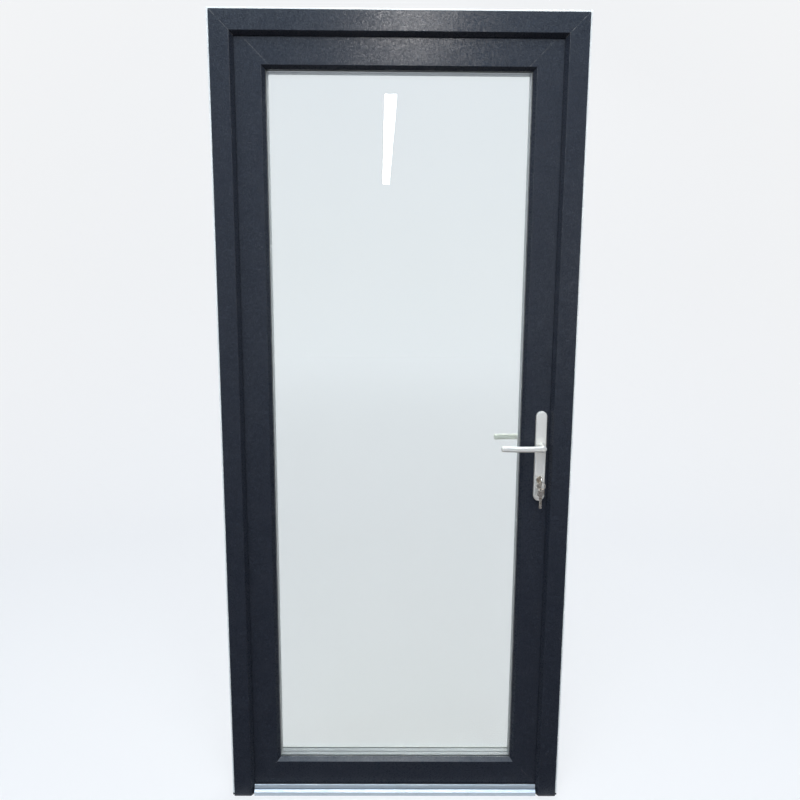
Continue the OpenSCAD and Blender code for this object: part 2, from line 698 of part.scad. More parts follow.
// Outline of the profile cylinder in x and z, grown by gap, run from y0 to y1
module cylinder_form(y0, y1, gap = 0) translate([lock_u, 0, cylinder_z]) {
    bar_y(y0, y1, cylinder_r + gap);
    block([-cylinder_flange_w / 2 - gap, y0, cylinder_r - cylinder_h - gap],
        [cylinder_flange_w / 2 + gap, y1, 0]);
}

// Screw holes that more than one piece shares
module hinge_frame_screws(gap) for (z = hinge_zs, dz = hinge_screw_zs)
    hinge_side() translate([hinge_screw_u, frame_y1 + hinge_plate_t, z + dz]) rotate([-90, 0, 0])
        screw(screw_l, screw_r, screw_head_r, gap);
module hinge_wing_screws(gap) for (z = hinge_zs, dz = hinge_screw_zs)
    hinge_side() translate([wing_screw_u, leaf_y1 + hinge_wing_t, z + dz]) rotate([-90, 0, 0])
        screw(screw_l, screw_r, screw_head_r, gap);
module keeper_screws(gap) lock_side() {
    for (z = main_keeper_screw_zs)
        translate([keeper_u1, groove_y, z]) rotate([0, 90, 0]) screw(screw_l, screw_r, screw_head_r, gap);
    for (z = end_bolt_zs, s = [-1, 1])
        translate([keeper_u1, groove_y, z + s * end_keeper_screw_set]) rotate([0, 90, 0])
            screw(screw_l, screw_r, screw_head_r, gap);
}
module faceplate_screws(gap) lock_side() for (z = faceplate_screw_zs)
    translate([leaf_u, groove_y, z]) rotate([0, -90, 0]) screw(screw_l, screw_r, screw_head_r, gap);
module handle_screws(gap) lock_side() for (z = plate_screw_zs)
    translate([lock_u, in_plate_y, z]) rotate([-90, 0, 0])
        screw(in_plate_y - leaf_y0 + plate_t / 2, bolt_screw_r, plate_head_r, gap);
module cylinder_bolt(gap) lock_side() translate([leaf_u, groove_y, cylinder_screw_z]) rotate([0, -90, 0])
    screw(backset + cylinder_flange_w / 2 - blind_end, bolt_screw_r, screw_head_r, gap);
module fixing_holes() for (z = fixing_zs)
    translate([0, 0, z]) bar_u(-past, rebate_u + past, fixing_r);

// Pockets that the lock and its cases need in the stile and its steel
module lock_pockets() lock_side() {
    block([leaf_u - past, case_y0 - fit_gap, case_z0 - fit_gap],
        [case_u1 + fit_gap, case_y0 + case_d + fit_gap, case_z1 + fit_gap]);
    for (z = end_bolt_zs)
        block([leaf_u - past, case_y0 - fit_gap, z - end_case_h / 2 - fit_gap],
            [end_case_u1 + fit_gap, case_y0 + case_d + fit_gap, z + end_case_h / 2 + fit_gap]);
    translate([lock_u, 0, handle_z]) bar_y(leaf_y0 - past, leaf_y1 + past, hub_r + hub_room);
    cylinder_form(leaf_y0 - past, leaf_y1 + past, fit_gap);
}

module frame_head() color(anthracite) frame_run("top") frame_profile();

module frame_hinge_jamb() color(anthracite) difference() {
    frame_run("hinge") frame_profile();
    hinge_frame_screws(fit_gap);
    hinge_side() fixing_holes();
}

module frame_lock_jamb() color(anthracite) difference() {
    frame_run("lock") frame_profile();
    keeper_screws(fit_gap);
    lock_side() {
        fixing_holes();
        block([bolt_room_u0, bolt_y0 - keeper_clear, deadbolt_z - deadbolt_h / 2 - keeper_clear],
            [rebate_u + past, bolt_y1 + keeper_clear, deadbolt_z + deadbolt_h / 2 + keeper_clear]);
        for (z = end_bolt_zs)
            translate([0, groove_y, z]) bar_u(bolt_room_u0, rebate_u + past, end_bolt_r + keeper_clear);
    }
}

module frame_reinforcement() color(galvanised) {
    tube_z0 = foot_h + steel_stop;
    tube_z1 = frame_h - frame_steel_u1 - steel_stop;
    difference() {
        hinge_side() translate([0, 0, tube_z0]) linear_extrude(tube_z1 - tube_z0) frame_tube();
        hinge_frame_screws(fit_gap);
        hinge_side() fixing_holes();
    }
    difference() {
        lock_side() translate([0, 0, tube_z0]) linear_extrude(tube_z1 - tube_z0) frame_tube();
        keeper_screws(fit_gap);
        lock_side() fixing_holes();
    }
    translate([-half_w + frame_steel_u1 + steel_stop, 0, frame_h]) rotate([0, 90, 0])
        linear_extrude(frame_w - 2 * (frame_steel_u1 + steel_stop)) frame_tube();
}

// Threshold section between two depths, drawn in (y, z) and run between the rebate floors
module sill_run() translate([-half_w + rebate_u, 0, 0]) rotate([90, 0, 90])
    linear_extrude(frame_w - 2 * rebate_u) children();

module threshold_outer() color(aluminium) difference() {
    sill_run() difference() {
        polygon(rounded([
            [frame_y0, 0, 0], [break_y0, 0, 0], [break_y0, drain_h, 0], [rib_y1, drain_h, 0],
            [rib_y1, rib_h, arris_r], [rib_y0, rib_h, arris_r], [rib_y0, drain_h, 0],
            [nose_y1, drain_h, 0], [nose_y1, nose_h, nose_r / 2],
            [frame_y0 + nose_slope_w, nose_h, nose_r], [frame_y0, nose_edge_h, nose_r]]));
        patch([frame_y0 + sill_wall, sill_wall], [nose_y1 - sill_wall, nose_edge_h - sill_wall]);
        patch([rib_y1, sill_wall], [break_y0 - sill_wall, drain_h - sill_wall]);
        patch([rib_y1 - sill_slot_d, sill_slot_z], [rib_y1 + past, sill_slot_z + slot_w]);
    }
    for (side = [-1, 1])
        translate([side * half_w, 0, 0])
            block([-lip_u, frame_y0 - past, -past], [lip_u, lip_y, rib_h + past]);
}

module threshold_break() color(black) sill_run() difference() {
    patch([break_y0, 0], [break_y1, break_h]);
    patch([break_y0 + sill_wall, sill_wall], [-sill_wall / 2, break_h - sill_wall]);
    patch([sill_wall / 2, sill_wall], [break_y1 - sill_wall, break_h - sill_wall]);
}

module threshold_inner() color(aluminium) sill_run() difference() {
    polygon(rounded([[break_y1, 0, 0], [frame_y1, 0, 0],
        [frame_y1, tread_h, arris_r], [break_y1, tread_h, nose_r / 2]]));
    patch([break_y1 + sill_wall, sill_wall], [frame_y1 - sill_wall, tread_h - 2 * sill_wall]);
    grip_pitch = (frame_y1 - break_y1) / (grip_count + 1);
    for (k = [1:grip_count])
        patch([break_y1 + k * grip_pitch - grip_w / 2, tread_h - sill_wall / 2],
            [break_y1 + k * grip_pitch + grip_w / 2, tread_h + past]);
}

module jamb_feet() color(black) {
    hinge_side() linear_extrude(foot_h) frame_outline();
    lock_side() linear_extrude(foot_h) frame_outline();
}

// The seal in the frame's lip ends on the drain floor
module frame_gasket() color(black) difference() {
    for (side = ["hinge", "lock", "top"])
        frame_run(side) translate([lip_slot_u, lip_y]) seal_profile(seal_gap - seal_clear);
    block([-half_w, lip_y, 0], [half_w, flange_y, drain_h]);
}

// The seal stands on the rib and faces the leaf
module threshold_seal() color(black) intersection() {
    sill_run() translate([rib_y1, sill_slot_z + slot_w]) rotate(-90) {
        reach = rib_set - seal_clear;
        patch([0, -sill_slot_d], [slot_w, seal_root]);
        polygon(rounded([[-seal_lap, 0, 0], [slot_w + seal_lap, 0, 0],
            [slot_w + seal_lap, reach, sill_seal_r], [-seal_lap, reach, sill_seal_r]]));
    }
    block([-half_w + lip_u, frame_y0, 0], [half_w - lip_u, frame_y1, rib_h]);
}

// Keeper plate on the rebate floor, with rounded outer corners
module keeper_plate(z0, z1) translate([rebate_u, groove_y, 0]) rotate([90, 0, 90]) linear_extrude(keeper_t)
    polygon(rounded([[-keeper_w / 2, z0, arris_r], [keeper_w / 2, z0, arris_r],
        [keeper_w / 2, z1, arris_r], [-keeper_w / 2, z1, arris_r]]));

module main_keeper() color(galvanised) difference() {
    lock_side() keeper_plate(keeper_z0, keeper_z1);
    lock_side() for (opening = [[latch_z, latch_h], [deadbolt_z, deadbolt_h]])
        block([rebate_u - past, bolt_y0 - keeper_clear, opening.x - opening.y / 2 - keeper_clear],
            [keeper_u1 + past, bolt_y1 + keeper_clear, opening.x + opening.y / 2 + keeper_clear]);
    keeper_screws(fit_gap);
}

module bolt_keepers() color(galvanised) difference() {
    lock_side() for (z = end_bolt_zs)
        difference() {
            keeper_plate(z - end_keeper_h / 2, z + end_keeper_h / 2);
            translate([0, groove_y, z]) bar_u(rebate_u - past, keeper_u1 + past, end_bolt_r + keeper_clear);
        }
    keeper_screws(fit_gap);
}

// Lower half of each hinge: a plate on the frame with the barrel that holds the pin
module hinge_frame_halves() color(white) difference() {
    hinge_side() for (z = hinge_zs) {
        block([hinge_edge, frame_y1, z - hinge_h / 2],
            [hinge_plate_u1, frame_y1 + hinge_plate_t, z + hinge_h / 2]);
        translate([0, 0, z - hinge_h / 2]) difference() {
            union() {
                translate([hinge_u, hinge_y, 0]) cylinder(h = hinge_h / 2 - barrel_gap, r = barrel_r);
                block([hinge_u - barrel_r / 2, frame_y1 + hinge_plate_t / 2, 0],
                    [hinge_u + barrel_r / 2, hinge_y, hinge_h / 2 - barrel_gap]);
            }
            translate([hinge_u, hinge_y, -past]) cylinder(h = hinge_h, r = hinge_pin_r);
        }
    }
    hinge_frame_screws(fit_gap);
}

module hinge_pins() color(galvanised) hinge_side() for (z = hinge_zs)
    translate([hinge_u, hinge_y, z - hinge_h / 2]) cylinder(h = hinge_h - barrel_gap, r = hinge_pin_r);

// Upper half of each hinge: a plate on the leaf with the barrel that turns on the pin
module hinge_leaf_halves() color(white) difference() {
    hinge_side() for (z = hinge_zs) {
        block([wing_u0, leaf_y1, z - hinge_h / 2], [wing_u1, leaf_y1 + hinge_wing_t, z + hinge_h / 2]);
        translate([0, 0, z]) difference() {
            union() {
                translate([hinge_u, hinge_y, 0]) cylinder(h = hinge_h / 2, r = barrel_r);
                block([hinge_u, leaf_y1, 0], [wing_u0 + past, leaf_y1 + hinge_wing_t, hinge_h / 2]);
            }
            translate([hinge_u, hinge_y, -past])
                cylinder(h = hinge_h / 2 + 2 * past, r = hinge_pin_r + run_gap);
        }
    }
    hinge_wing_screws(fit_gap);
}

module frame_screws() color(galvanised) {
    hinge_frame_screws(0);
    keeper_screws(0);
}

module leaf_top_rail() color(anthracite) leaf_run("top") leaf_profile();
module leaf_bottom_rail() color(anthracite) leaf_run("bottom") leaf_profile();
module leaf_hinge_stile() color(anthracite) difference() {
    leaf_run("hinge") leaf_profile();
    hinge_wing_screws(fit_gap);
}
module leaf_lock_stile() color(anthracite) difference() {
    leaf_run("lock") leaf_profile();
    lock_pockets();
    faceplate_screws(fit_gap);
    handle_screws(fit_gap);
}

module leaf_reinforcement() color(galvanised) {
    tube_z0 = leaf_z + leaf_steel_u1 - leaf_u + steel_stop;
    tube_z1 = frame_h - leaf_steel_u1 - steel_stop;
    tube_x0 = -half_w + leaf_steel_u1 + steel_stop;
    difference() {
        hinge_side() translate([0, 0, tube_z0]) linear_extrude(tube_z1 - tube_z0) leaf_tube();
        hinge_wing_screws(fit_gap);
    }
    difference() {
        lock_side() translate([0, 0, tube_z0]) linear_extrude(tube_z1 - tube_z0) leaf_tube();
        lock_pockets();
        faceplate_screws(fit_gap);
        handle_screws(fit_gap);
    }
    translate([tube_x0, 0, frame_h]) rotate([0, 90, 0]) linear_extrude(-2 * tube_x0) leaf_tube();
    translate([tube_x0, 0, leaf_z - leaf_u]) mirror([0, 0, 1]) rotate([0, 90, 0])
        linear_extrude(-2 * tube_x0) leaf_tube();
}

module outer_pane() color(bare_glass) leaf_box(glass_u, glass_y0, glass_y0 + pane_t);
module middle_pane() color(bare_glass) leaf_box(glass_u, mid_pane_y, mid_pane_y + pane_t);
module inner_pane() color(bare_glass) leaf_box(glass_u, in_pane_y, glass_y1);

// Closed ring in the glass unit's edge, from distance u0 to u1
module edge_ring(u0, u1, y0) difference() {
    leaf_box(u0, y0, y0 + cavity);
    leaf_box(u1, y0 - past, y0 + cavity + past);
}
module outer_spacer() color(aluminium) edge_ring(spacer_u, sight_u, glass_y0 + pane_t);
module inner_spacer() color(aluminium) edge_ring(spacer_u, sight_u, mid_pane_y + pane_t);
module edge_sealant() color(black) {
    edge_ring(glass_u, spacer_u, glass_y0 + pane_t);
    edge_ring(glass_u, spacer_u, mid_pane_y + pane_t);
}

module outer_glazing_gasket() color(black) leaf_ring() polygon([
    [glaze_u + gasket_foot, glaze_y], [day_u, glaze_y],
    [day_u + gasket_lip, glass_y0], [glaze_u + 1.5 * gasket_foot, glass_y0]]);
module inner_glazing_gasket() color(black) leaf_ring() polygon([
    [glaze_u + 1.5 * gasket_foot, glass_y1], [day_u + gasket_lip, glass_y1],
    [day_u, bead_y], [glaze_u + gasket_foot, bead_y]]);

module top_bead() color(white) leaf_run("top") bead_profile();
module bottom_bead() color(white) leaf_run("bottom") bead_profile();
module hinge_side_bead() color(white) leaf_run("hinge") bead_profile();
module lock_side_bead() color(white) leaf_run("lock") bead_profile();

// Two packers on each side hold the glass unit square in its rebate
module glazing_packers() color(black) {
    glass_low_z = leaf_z + glass_u - leaf_u;
    glass_top_z = frame_h - glass_u;
    for (side = [-1, 1], z = [glass_low_z + packer_set, glass_top_z - packer_set - packer_l])
        translate([side * (half_w - glaze_u - glass_gap / 2), (glass_y0 + glass_y1) / 2, z + packer_l / 2])
            cube([glass_gap, glass_y1 - glass_y0, packer_l], center = true);
    for (side = [-1, 1], z = [glass_low_z - glass_gap / 2, glass_top_z + glass_gap / 2])
        translate([side * (half_w - glass_u - packer_set - packer_l / 2), (glass_y0 + glass_y1) / 2, z])
            cube([packer_l, glass_y1 - glass_y0, glass_gap], center = true);
}

module leaf_gasket() color(black) for (side = ["hinge", "lock", "top"])
    leaf_run(side) translate([flange_slot_u, flange_y]) mirror([0, 1]) seal_profile(seal_gap - seal_clear);

// Base strip in the bottom rail's groove with two fins that wipe the tread
module bottom_seal() color(black) translate([-half_w + rod_u0, 0, 0]) rotate([90, 0, 90])
    linear_extrude(frame_w - 2 * rod_u0) {
        patch([groove_y - faceplate_w / 2, leaf_z], [groove_y + faceplate_w / 2, leaf_z + faceplate_t]);
        for (y = [groove_y, groove_y + faceplate_w / 2 - fin_t])
            patch([y - fin_t / 2, tread_h + seal_clear], [y + fin_t / 2, leaf_z + past]);
    }

// Long faceplate with windows for the latch and the bolts
module lock_faceplate() color(galvanised) difference() {
    lock_side() block([leaf_u, groove_y - faceplate_w / 2, faceplate_low_z],
        [rod_u0, groove_y + faceplate_w / 2, faceplate_top_z]);
    lock_side() {
        for (opening = [[latch_z, latch_h], [deadbolt_z, deadbolt_h]])
            block([leaf_u - past, bolt_y0 - slide_gap, opening.x - opening.y / 2 - slide_gap],
                [rod_u0 + past, bolt_y1 + slide_gap, opening.x + opening.y / 2 + slide_gap]);
        for (z = end_bolt_zs)
            translate([0, groove_y, z]) bar_u(leaf_u - past, rod_u0 + past, end_bolt_r + run_gap);
    }
    faceplate_screws(socket_gap);
    cylinder_bolt(socket_gap);
}

// Folded steel case with bores for the follower and a cut-out for the cylinder
module lock_case() color(galvanised) difference() {
    lock_side() difference() {
        block([rod_u0, case_y0, case_z0], [case_u1, case_y0 + case_d, case_z1]);
        block([rod_u0 + case_t, case_y0 + case_t, case_z0 + case_t],
            [case_u1 - case_t, case_y0 + case_d - case_t, case_z1 - case_t]);
        for (opening = [[latch_z, latch_h], [deadbolt_z, deadbolt_h]])
            block([rod_u0 - past, bolt_y0 - slide_gap, opening.x - opening.y / 2 - slide_gap],
                [rod_u0 + case_t + past, bolt_y1 + slide_gap, opening.x + opening.y / 2 + slide_gap]);
        translate([lock_u, 0, handle_z]) bar_y(case_y0 - past, case_y0 + case_d + past, trunnion_r + run_gap);
        cylinder_form(case_y0 - past, case_y0 + case_d + past, fit_gap);
    }
    cylinder_bolt(fit_gap);
}

module bolt_cases() color(galvanised) lock_side() for (z = end_bolt_zs)
    difference() {
        block([rod_u0, case_y0, z - end_case_h / 2], [end_case_u1, case_y0 + case_d, z + end_case_h / 2]);
        block([rod_u0 + case_t, case_y0 - past, z + end_bolt_r + 2 * case_t],
            [end_case_u1 - case_t, case_y0 + case_d - case_t, z + end_case_h / 2 - case_t]);
        block([rod_u0 + case_t, case_y0 - past, z - end_case_h / 2 + case_t],
            [end_case_u1 - case_t, case_y0 + case_d - case_t, z - end_bolt_r - 2 * case_t]);
        translate([0, groove_y, z]) bar_u(rod_u0 - past, end_case_u1 + past, end_bolt_r + run_gap);
    }

module leaf_screws() color(galvanised) {
    hinge_wing_screws(0);
    faceplate_screws(0);
}
module cylinder_screw() color(galvanised) cylinder_bolt(0);
module plate_screws() color(galvanised) handle_screws(0);

// Profile cylinder: a round body on a flat flange, bored for the plug and slotted for the cam
module cylinder_body() color(nickel) difference() {
    lock_side() difference() {
        cylinder_form(cylinder_y0, cylinder_y1);
        translate([lock_u, 0, cylinder_z]) bar_y(cylinder_y0 - past, cylinder_y1 + past, plug_r);
        block([lock_u - cylinder_r - past, groove_y - cam_slot_w / 2, bridge_z],
            [lock_u + cylinder_r + past, groove_y + cam_slot_w / 2, cylinder_z + cylinder_r + past]);
    }
    cylinder_bolt(0);
}

// Half of a plate's section: x from its middle line, y out from the leaf
module plate_half() polygon(rounded([[0, 0, 0], [plate_w / 2, 0, 0],
    [plate_w / 2, plate_t, plate_edge_r], [0, plate_t, 0]]));
// Long plate with round ends; +y points away from the leaf
module plate_form() {
    straight = plate_h - plate_w;
    translate([0, 0, plate_z0 + plate_w / 2]) {
        linear_extrude(straight) {
            plate_half();
            mirror([1, 0]) plate_half();
        }
        rotate([-90, 0, 0]) rotate_extrude(angle = 180) plate_half();
        translate([0, 0, straight]) rotate([-90, 180, 0]) rotate_extrude(angle = 180) plate_half();
    }
}
module plate_holes() {
    lock_side() translate([lock_u, 0, handle_z])
        bar_y(out_plate_y - past, in_plate_y + past, hub_r + slide_gap);
    lock_side() cylinder_form(out_plate_y - past, in_plate_y + past, fit_gap / 2);
}
module outside_plate() color(satin) difference() {
    lock_side() translate([lock_u, leaf_y0, 0]) mirror([0, 1, 0]) plate_form();
    plate_holes();
    handle_screws(0);
}
module inside_plate() color(satin) difference() {
    lock_side() translate([lock_u, leaf_y1, 0]) plate_form();
    plate_holes();
    handle_screws(socket_gap);
}

// Lever about the y axis; +y points away from the plate and +x along the grip
module lever_form() {
    sweep = 2 * asin(lever_l / 2 / grip_bow_r);
    bow_y = grip_stand - sqrt(grip_bow_r * grip_bow_r - lever_l * lever_l / 4);
    corner_r = grip_t / 2 - 0.5;
    grip_l = lever_l - grip_t / 2;
    tip_turn = 90 - sweep / 2 + grip_t / 2 / grip_bow_r * 180 / PI;
    difference() {
        rotate([-90, 0, 0]) rotate_extrude() polygon(rounded([[0, -plate_t, 0], [hub_r, -plate_t, 0],
            [hub_r, grip_stand + grip_t / 2, hub_edge_r], [0, grip_stand + grip_t / 2, 0]]));
        block([-socket_w / 2, -plate_t - past, -socket_w / 2], [socket_w / 2, grip_stand / 2, socket_w / 2]);
    }
    translate([lever_l / 2, bow_y, 0]) {
        rotate([0, 0, tip_turn]) rotate_extrude(angle = 90 + sweep / 2 - tip_turn)
            translate([grip_bow_r, 0]) polygon(rounded([
                [-grip_t / 2, -grip_h / 2, corner_r], [grip_t / 2, -grip_h / 2, corner_r],
                [grip_t / 2, grip_h / 2, corner_r], [-grip_t / 2, grip_h / 2, corner_r]]));
        rotate([0, 0, tip_turn]) translate([grip_bow_r, 0, 0]) rotate([0, 0, 180]) rotate_extrude(angle = 180)
            polygon(rounded([[0, -grip_h / 2, 0], [grip_t / 2, -grip_h / 2, corner_r],
                [grip_t / 2, grip_h / 2, corner_r], [0, grip_h / 2, 0]]));
    }
}
module outside_lever() color(satin) lock_side()
    translate([lock_u, out_plate_y, handle_z]) mirror([0, 1, 0]) lever_form();
module inside_lever() color(satin) lock_side()
    translate([lock_u, in_plate_y, handle_z]) lever_form();

module spindle() color(galvanised) lock_side() translate([lock_u, 0, handle_z])
    block([-spindle_w / 2, out_plate_y - grip_stand / 2 + blind_end, -spindle_w / 2],
        [spindle_w / 2, in_plate_y + grip_stand / 2 - blind_end, spindle_w / 2]);

// Follower: a hub in the case's bores, with the arm that draws the latch
module follower() color(galvanised) lock_side() translate([lock_u, 0, handle_z]) difference() {
    union() {
        bar_y(case_y0 + socket_gap, case_y0 + case_d - socket_gap, trunnion_r);
        bar_y(bolt_y0, bolt_y1, follower_r);
        block([-arm_w / 2, bolt_y0, 0], [arm_w / 2, bolt_y1, arm_h]);
    }
    block([-socket_w / 2, case_y0 - past, -socket_w / 2],
        [socket_w / 2, case_y0 + case_d + past, socket_w / 2]);
}

// Latch with its sloping face to the outside, and the tail that the follower draws
module latch_bolt() color(galvanised) lock_side() {
    translate([0, 0, latch_z - latch_h / 2]) linear_extrude(latch_h) polygon([
        [latch_u0, bolt_y1 - latch_tip_w], [latch_u0, bolt_y1], [latch_head_u, bolt_y1],
        [latch_head_u, bolt_y0], [leaf_u - tail_clear / 2, bolt_y0]]);
    block([latch_head_u, bolt_y0 + tail_clear, tail_z],
        [hook_u + hook_w, bolt_y1 - tail_clear, latch_z + latch_h / 2 - hook_w]);
    block([hook_u, bolt_y0 + tail_clear, handle_z + follower_r + 1.5 * tail_clear],
        [hook_u + hook_w, bolt_y1 - tail_clear, tail_z]);
}

// Square-nosed bolt with a chamfered nose
module deadbolt() color(galvanised) lock_side()
    translate([0, 0, deadbolt_z - deadbolt_h / 2]) linear_extrude(deadbolt_h) polygon([
        [bolt_u0, bolt_y0 + bolt_nose / 2], [bolt_u0, bolt_y1 - bolt_nose / 2],
        [bolt_u0 + bolt_nose / 2, bolt_y1], [bolt_u0 + end_bolt_l, bolt_y1],
        [bolt_u0 + end_bolt_l, bolt_y0], [bolt_u0 + bolt_nose / 2, bolt_y0]]);

// Round bolt with a coned nose
module end_bolt(z) lock_side() translate([bolt_u0, groove_y, z]) rotate([0, 90, 0]) {
    cylinder(h = bolt_nose, r1 = end_bolt_r - bolt_nose, r2 = end_bolt_r);
    translate([0, 0, bolt_nose]) cylinder(h = end_bolt_l - bolt_nose, r = end_bolt_r);
}
module top_bolt() color(galvanised) end_bolt(top_bolt_z);
module bottom_bolt() color(galvanised) end_bolt(low_bolt_z);

// Rods behind the faceplate, slotted where its screws pass
module drive_rods() color(galvanised) lock_side() difference() {
    slot_r = screw_r + rod_side_gap / 2;
    for (span = [[low_bolt_z + end_case_h / 2 + rod_end_gap, case_z0 - bolt_throw - rod_end_gap],
                 [case_z1 + rod_end_gap, top_bolt_z - end_case_h / 2 - bolt_throw - rod_end_gap]])
        block([rod_u0 + slide_gap, groove_y - rod_w / 2, span.x],
            [groove_u - slide_gap, groove_y + rod_w / 2, span.y]);
    for (z = faceplate_screw_zs)
        block([rod_u0, groove_y - slot_r, z - bolt_throw - screw_r - rod_side_gap],
            [groove_u, groove_y + slot_r, z + screw_r + rod_side_gap]);
}

// Key outline: bow centred on the origin, blade along +x with cuts on one edge
module key_outline() {
    circle(bow_r);
    difference() {
        patch([0, -blade_w / 2], [bow_r + blade_l, blade_w / 2]);
        for (k = [0:cut_count - 1])
            translate([bow_r + cut_start + k * cut_pitch, blade_w / 2])
                polygon([[-cut_top_w / 2, past], [-cut_flat_w / 2, -cut_d - k % 3 * cut_d / 2],
                    [cut_flat_w / 2, -cut_d - k % 3 * cut_d / 2], [cut_top_w / 2, past]]);
        translate([bow_r + blade_l, -blade_w / 2]) rotate(45) square(2 * cut_flat_w, center = true);
    }
}

module key() color(nickel) lock_side() translate([lock_u, key_y, cylinder_z]) rotate([0, 90, 0]) rotate(90)
    linear_extrude(key_t, center = true) difference() {
        key_outline();
        translate([-bow_r / 2, 0]) circle(bow_hole_r);
    }

// Plug with its keyway, and the cam that turns in the lock case
module cylinder_plug() color(nickel) lock_side() translate([lock_u, 0, cylinder_z]) difference() {
    union() {
        bar_y(cylinder_y0, cylinder_y1, plug_r - run_gap);
        bar_y(groove_y - cam_w / 2, groove_y + cam_w / 2, cylinder_r - cam_room);
        block([-cam_w / 2, groove_y - cam_w / 2, 0], [cam_w / 2, groove_y + cam_w / 2, cam_r - 2 * cam_room]);
    }
    block([-key_t / 2 - socket_gap / 2, cylinder_y0 - past, -blade_w / 2 - socket_gap],
        [key_t / 2 + socket_gap / 2, key_y + bow_r + blade_l + blind_end, blade_w / 2 + socket_gap]);
}

// Flat ring through the key's bow, with the line between its turns
module split_ring() color(nickel) lock_side() translate([lock_u, key_hole_y, ring_z]) rotate([90, 0, 0])
    rotate_extrude() translate([ring_r, 0]) polygon([
        [-ring_t / 2, -ring_w / 2], [ring_t / 2, -ring_w / 2], [ring_t / 2, -0.15], [ring_t / 2 - 0.3, 0],
        [ring_t / 2, 0.15], [ring_t / 2, ring_w / 2], [-ring_t / 2, ring_w / 2]]);

module spare_key() color(nickel) lock_side() translate([lock_u, key_hole_y, 0]) rotate([0, 0, spare_turn])
    translate([0, 0, spare_bow_z]) rotate([0, 90, 0])
        linear_extrude(key_t, center = true) difference() {
            key_outline();
            translate([spare_bow_z - spare_slot_z - spare_slot_h / 2, -spare_slot_w / 2])
                square([spare_slot_h, spare_slot_w]);
        }

frame_head();
frame_hinge_jamb();
frame_lock_jamb();
frame_reinforcement();
threshold_outer();
threshold_break();
threshold_inner();
jamb_feet();
frame_gasket();
threshold_seal();
main_keeper();
bolt_keepers();
hinge_frame_halves();
hinge_pins();
frame_screws();
leaf_top_rail();
leaf_bottom_rail();
leaf_hinge_stile();
leaf_lock_stile();
leaf_reinforcement();
outer_pane();
middle_pane();
inner_pane();
outer_spacer();
inner_spacer();
edge_sealant();
outer_glazing_gasket();
inner_glazing_gasket();
top_bead();
bottom_bead();
hinge_side_bead();
lock_side_bead();
glazing_packers();
leaf_gasket();
bottom_seal();
lock_faceplate();
lock_case();
bolt_cases();
leaf_screws();
cylinder_screw();
cylinder_body();
outside_plate();
inside_plate();
plate_screws();
hinge_leaf_halves();
outside_lever();
inside_lever();
spindle();
follower();
latch_bolt();
deadbolt();
top_bolt();
bottom_bolt();
drive_rods();
key();
cylinder_plug();
split_ring();
spare_key();
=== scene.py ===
import json
import math

import bpy
import numpy as np
from mathutils import Matrix, Vector


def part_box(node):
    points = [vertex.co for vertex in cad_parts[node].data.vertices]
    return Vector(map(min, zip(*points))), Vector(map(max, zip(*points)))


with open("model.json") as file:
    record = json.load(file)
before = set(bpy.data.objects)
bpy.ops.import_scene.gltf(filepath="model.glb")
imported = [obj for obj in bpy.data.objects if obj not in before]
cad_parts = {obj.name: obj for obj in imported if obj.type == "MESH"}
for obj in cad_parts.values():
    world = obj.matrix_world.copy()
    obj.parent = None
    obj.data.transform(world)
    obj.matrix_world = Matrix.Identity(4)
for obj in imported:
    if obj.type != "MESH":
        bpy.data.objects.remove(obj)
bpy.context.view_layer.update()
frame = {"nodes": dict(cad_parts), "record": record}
cadNodes = frame["nodes"]
print("frame loaded:", len(cadNodes), "nodes")

# Sizes read from the frame, in metres
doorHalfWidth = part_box("frame_head")[1].x
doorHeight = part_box("frame_head")[1].z
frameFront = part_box("frame_head")[0].y
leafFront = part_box("leaf_top_rail")[0].y
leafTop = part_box("leaf_top_rail")[1].z
leafLow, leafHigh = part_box("leaf_bottom_rail")
paneLow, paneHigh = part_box("outer_pane")
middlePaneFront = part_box("middle_pane")[0].y


# Small helpers for shader trees

def setSocket(tree, socket, value):
    # a socket is linked, anything else is set as a constant
    if isinstance(value, bpy.types.NodeSocket):
        tree.links.new(value, socket)
    else:
        socket.default_value = value


def addNode(tree, kind, inputs=None, **settings):
    node = tree.nodes.new(kind)
    for name, value in settings.items():
        setattr(node, name, value)
    for key, value in (inputs or {}).items():
        setSocket(tree, node.inputs[key], value)
    return node


def maths(tree, operation, first, second=0.0, third=None, clamp=False):
    inputs = {0: first, 1: second}
    if third is not None:
        inputs[2] = third
    return addNode(tree, "ShaderNodeMath", inputs, operation=operation, use_clamp=clamp).outputs[0]


def vectorMaths(tree, operation, inputs):
    return addNode(tree, "ShaderNodeVectorMath", inputs, operation=operation).outputs


def axesOf(tree, vector):
    return addNode(tree, "ShaderNodeSeparateXYZ", {0: vector}).outputs


def noiseAt(tree, place, scale, detail, roughness=0.5):
    node = addNode(tree, "ShaderNodeTexNoise", {"Vector": place, "Scale": scale, "Detail": detail,
                                                "Roughness": roughness})
    return node.outputs["Fac"]


def rampUp(tree, value, start, end, kind="LINEAR"):
    # 0 before start, 1 after end, a straight or smooth step between them
    node = addNode(tree, "ShaderNodeMapRange", {"Value": value, "From Min": start, "From Max": end},
                   interpolation_type=kind)
    return node.outputs["Result"]


def mixColour(tree, mask, first, second):
    return addNode(tree, "ShaderNodeMix", {0: mask, 6: first, 7: second}, data_type="RGBA").outputs[2]


def mixValue(tree, mask, first, second):
    return addNode(tree, "ShaderNodeMix", {0: mask, 2: first, 3: second}, data_type="FLOAT").outputs[0]


def shades(colour):
    return (*colour, 1.0)


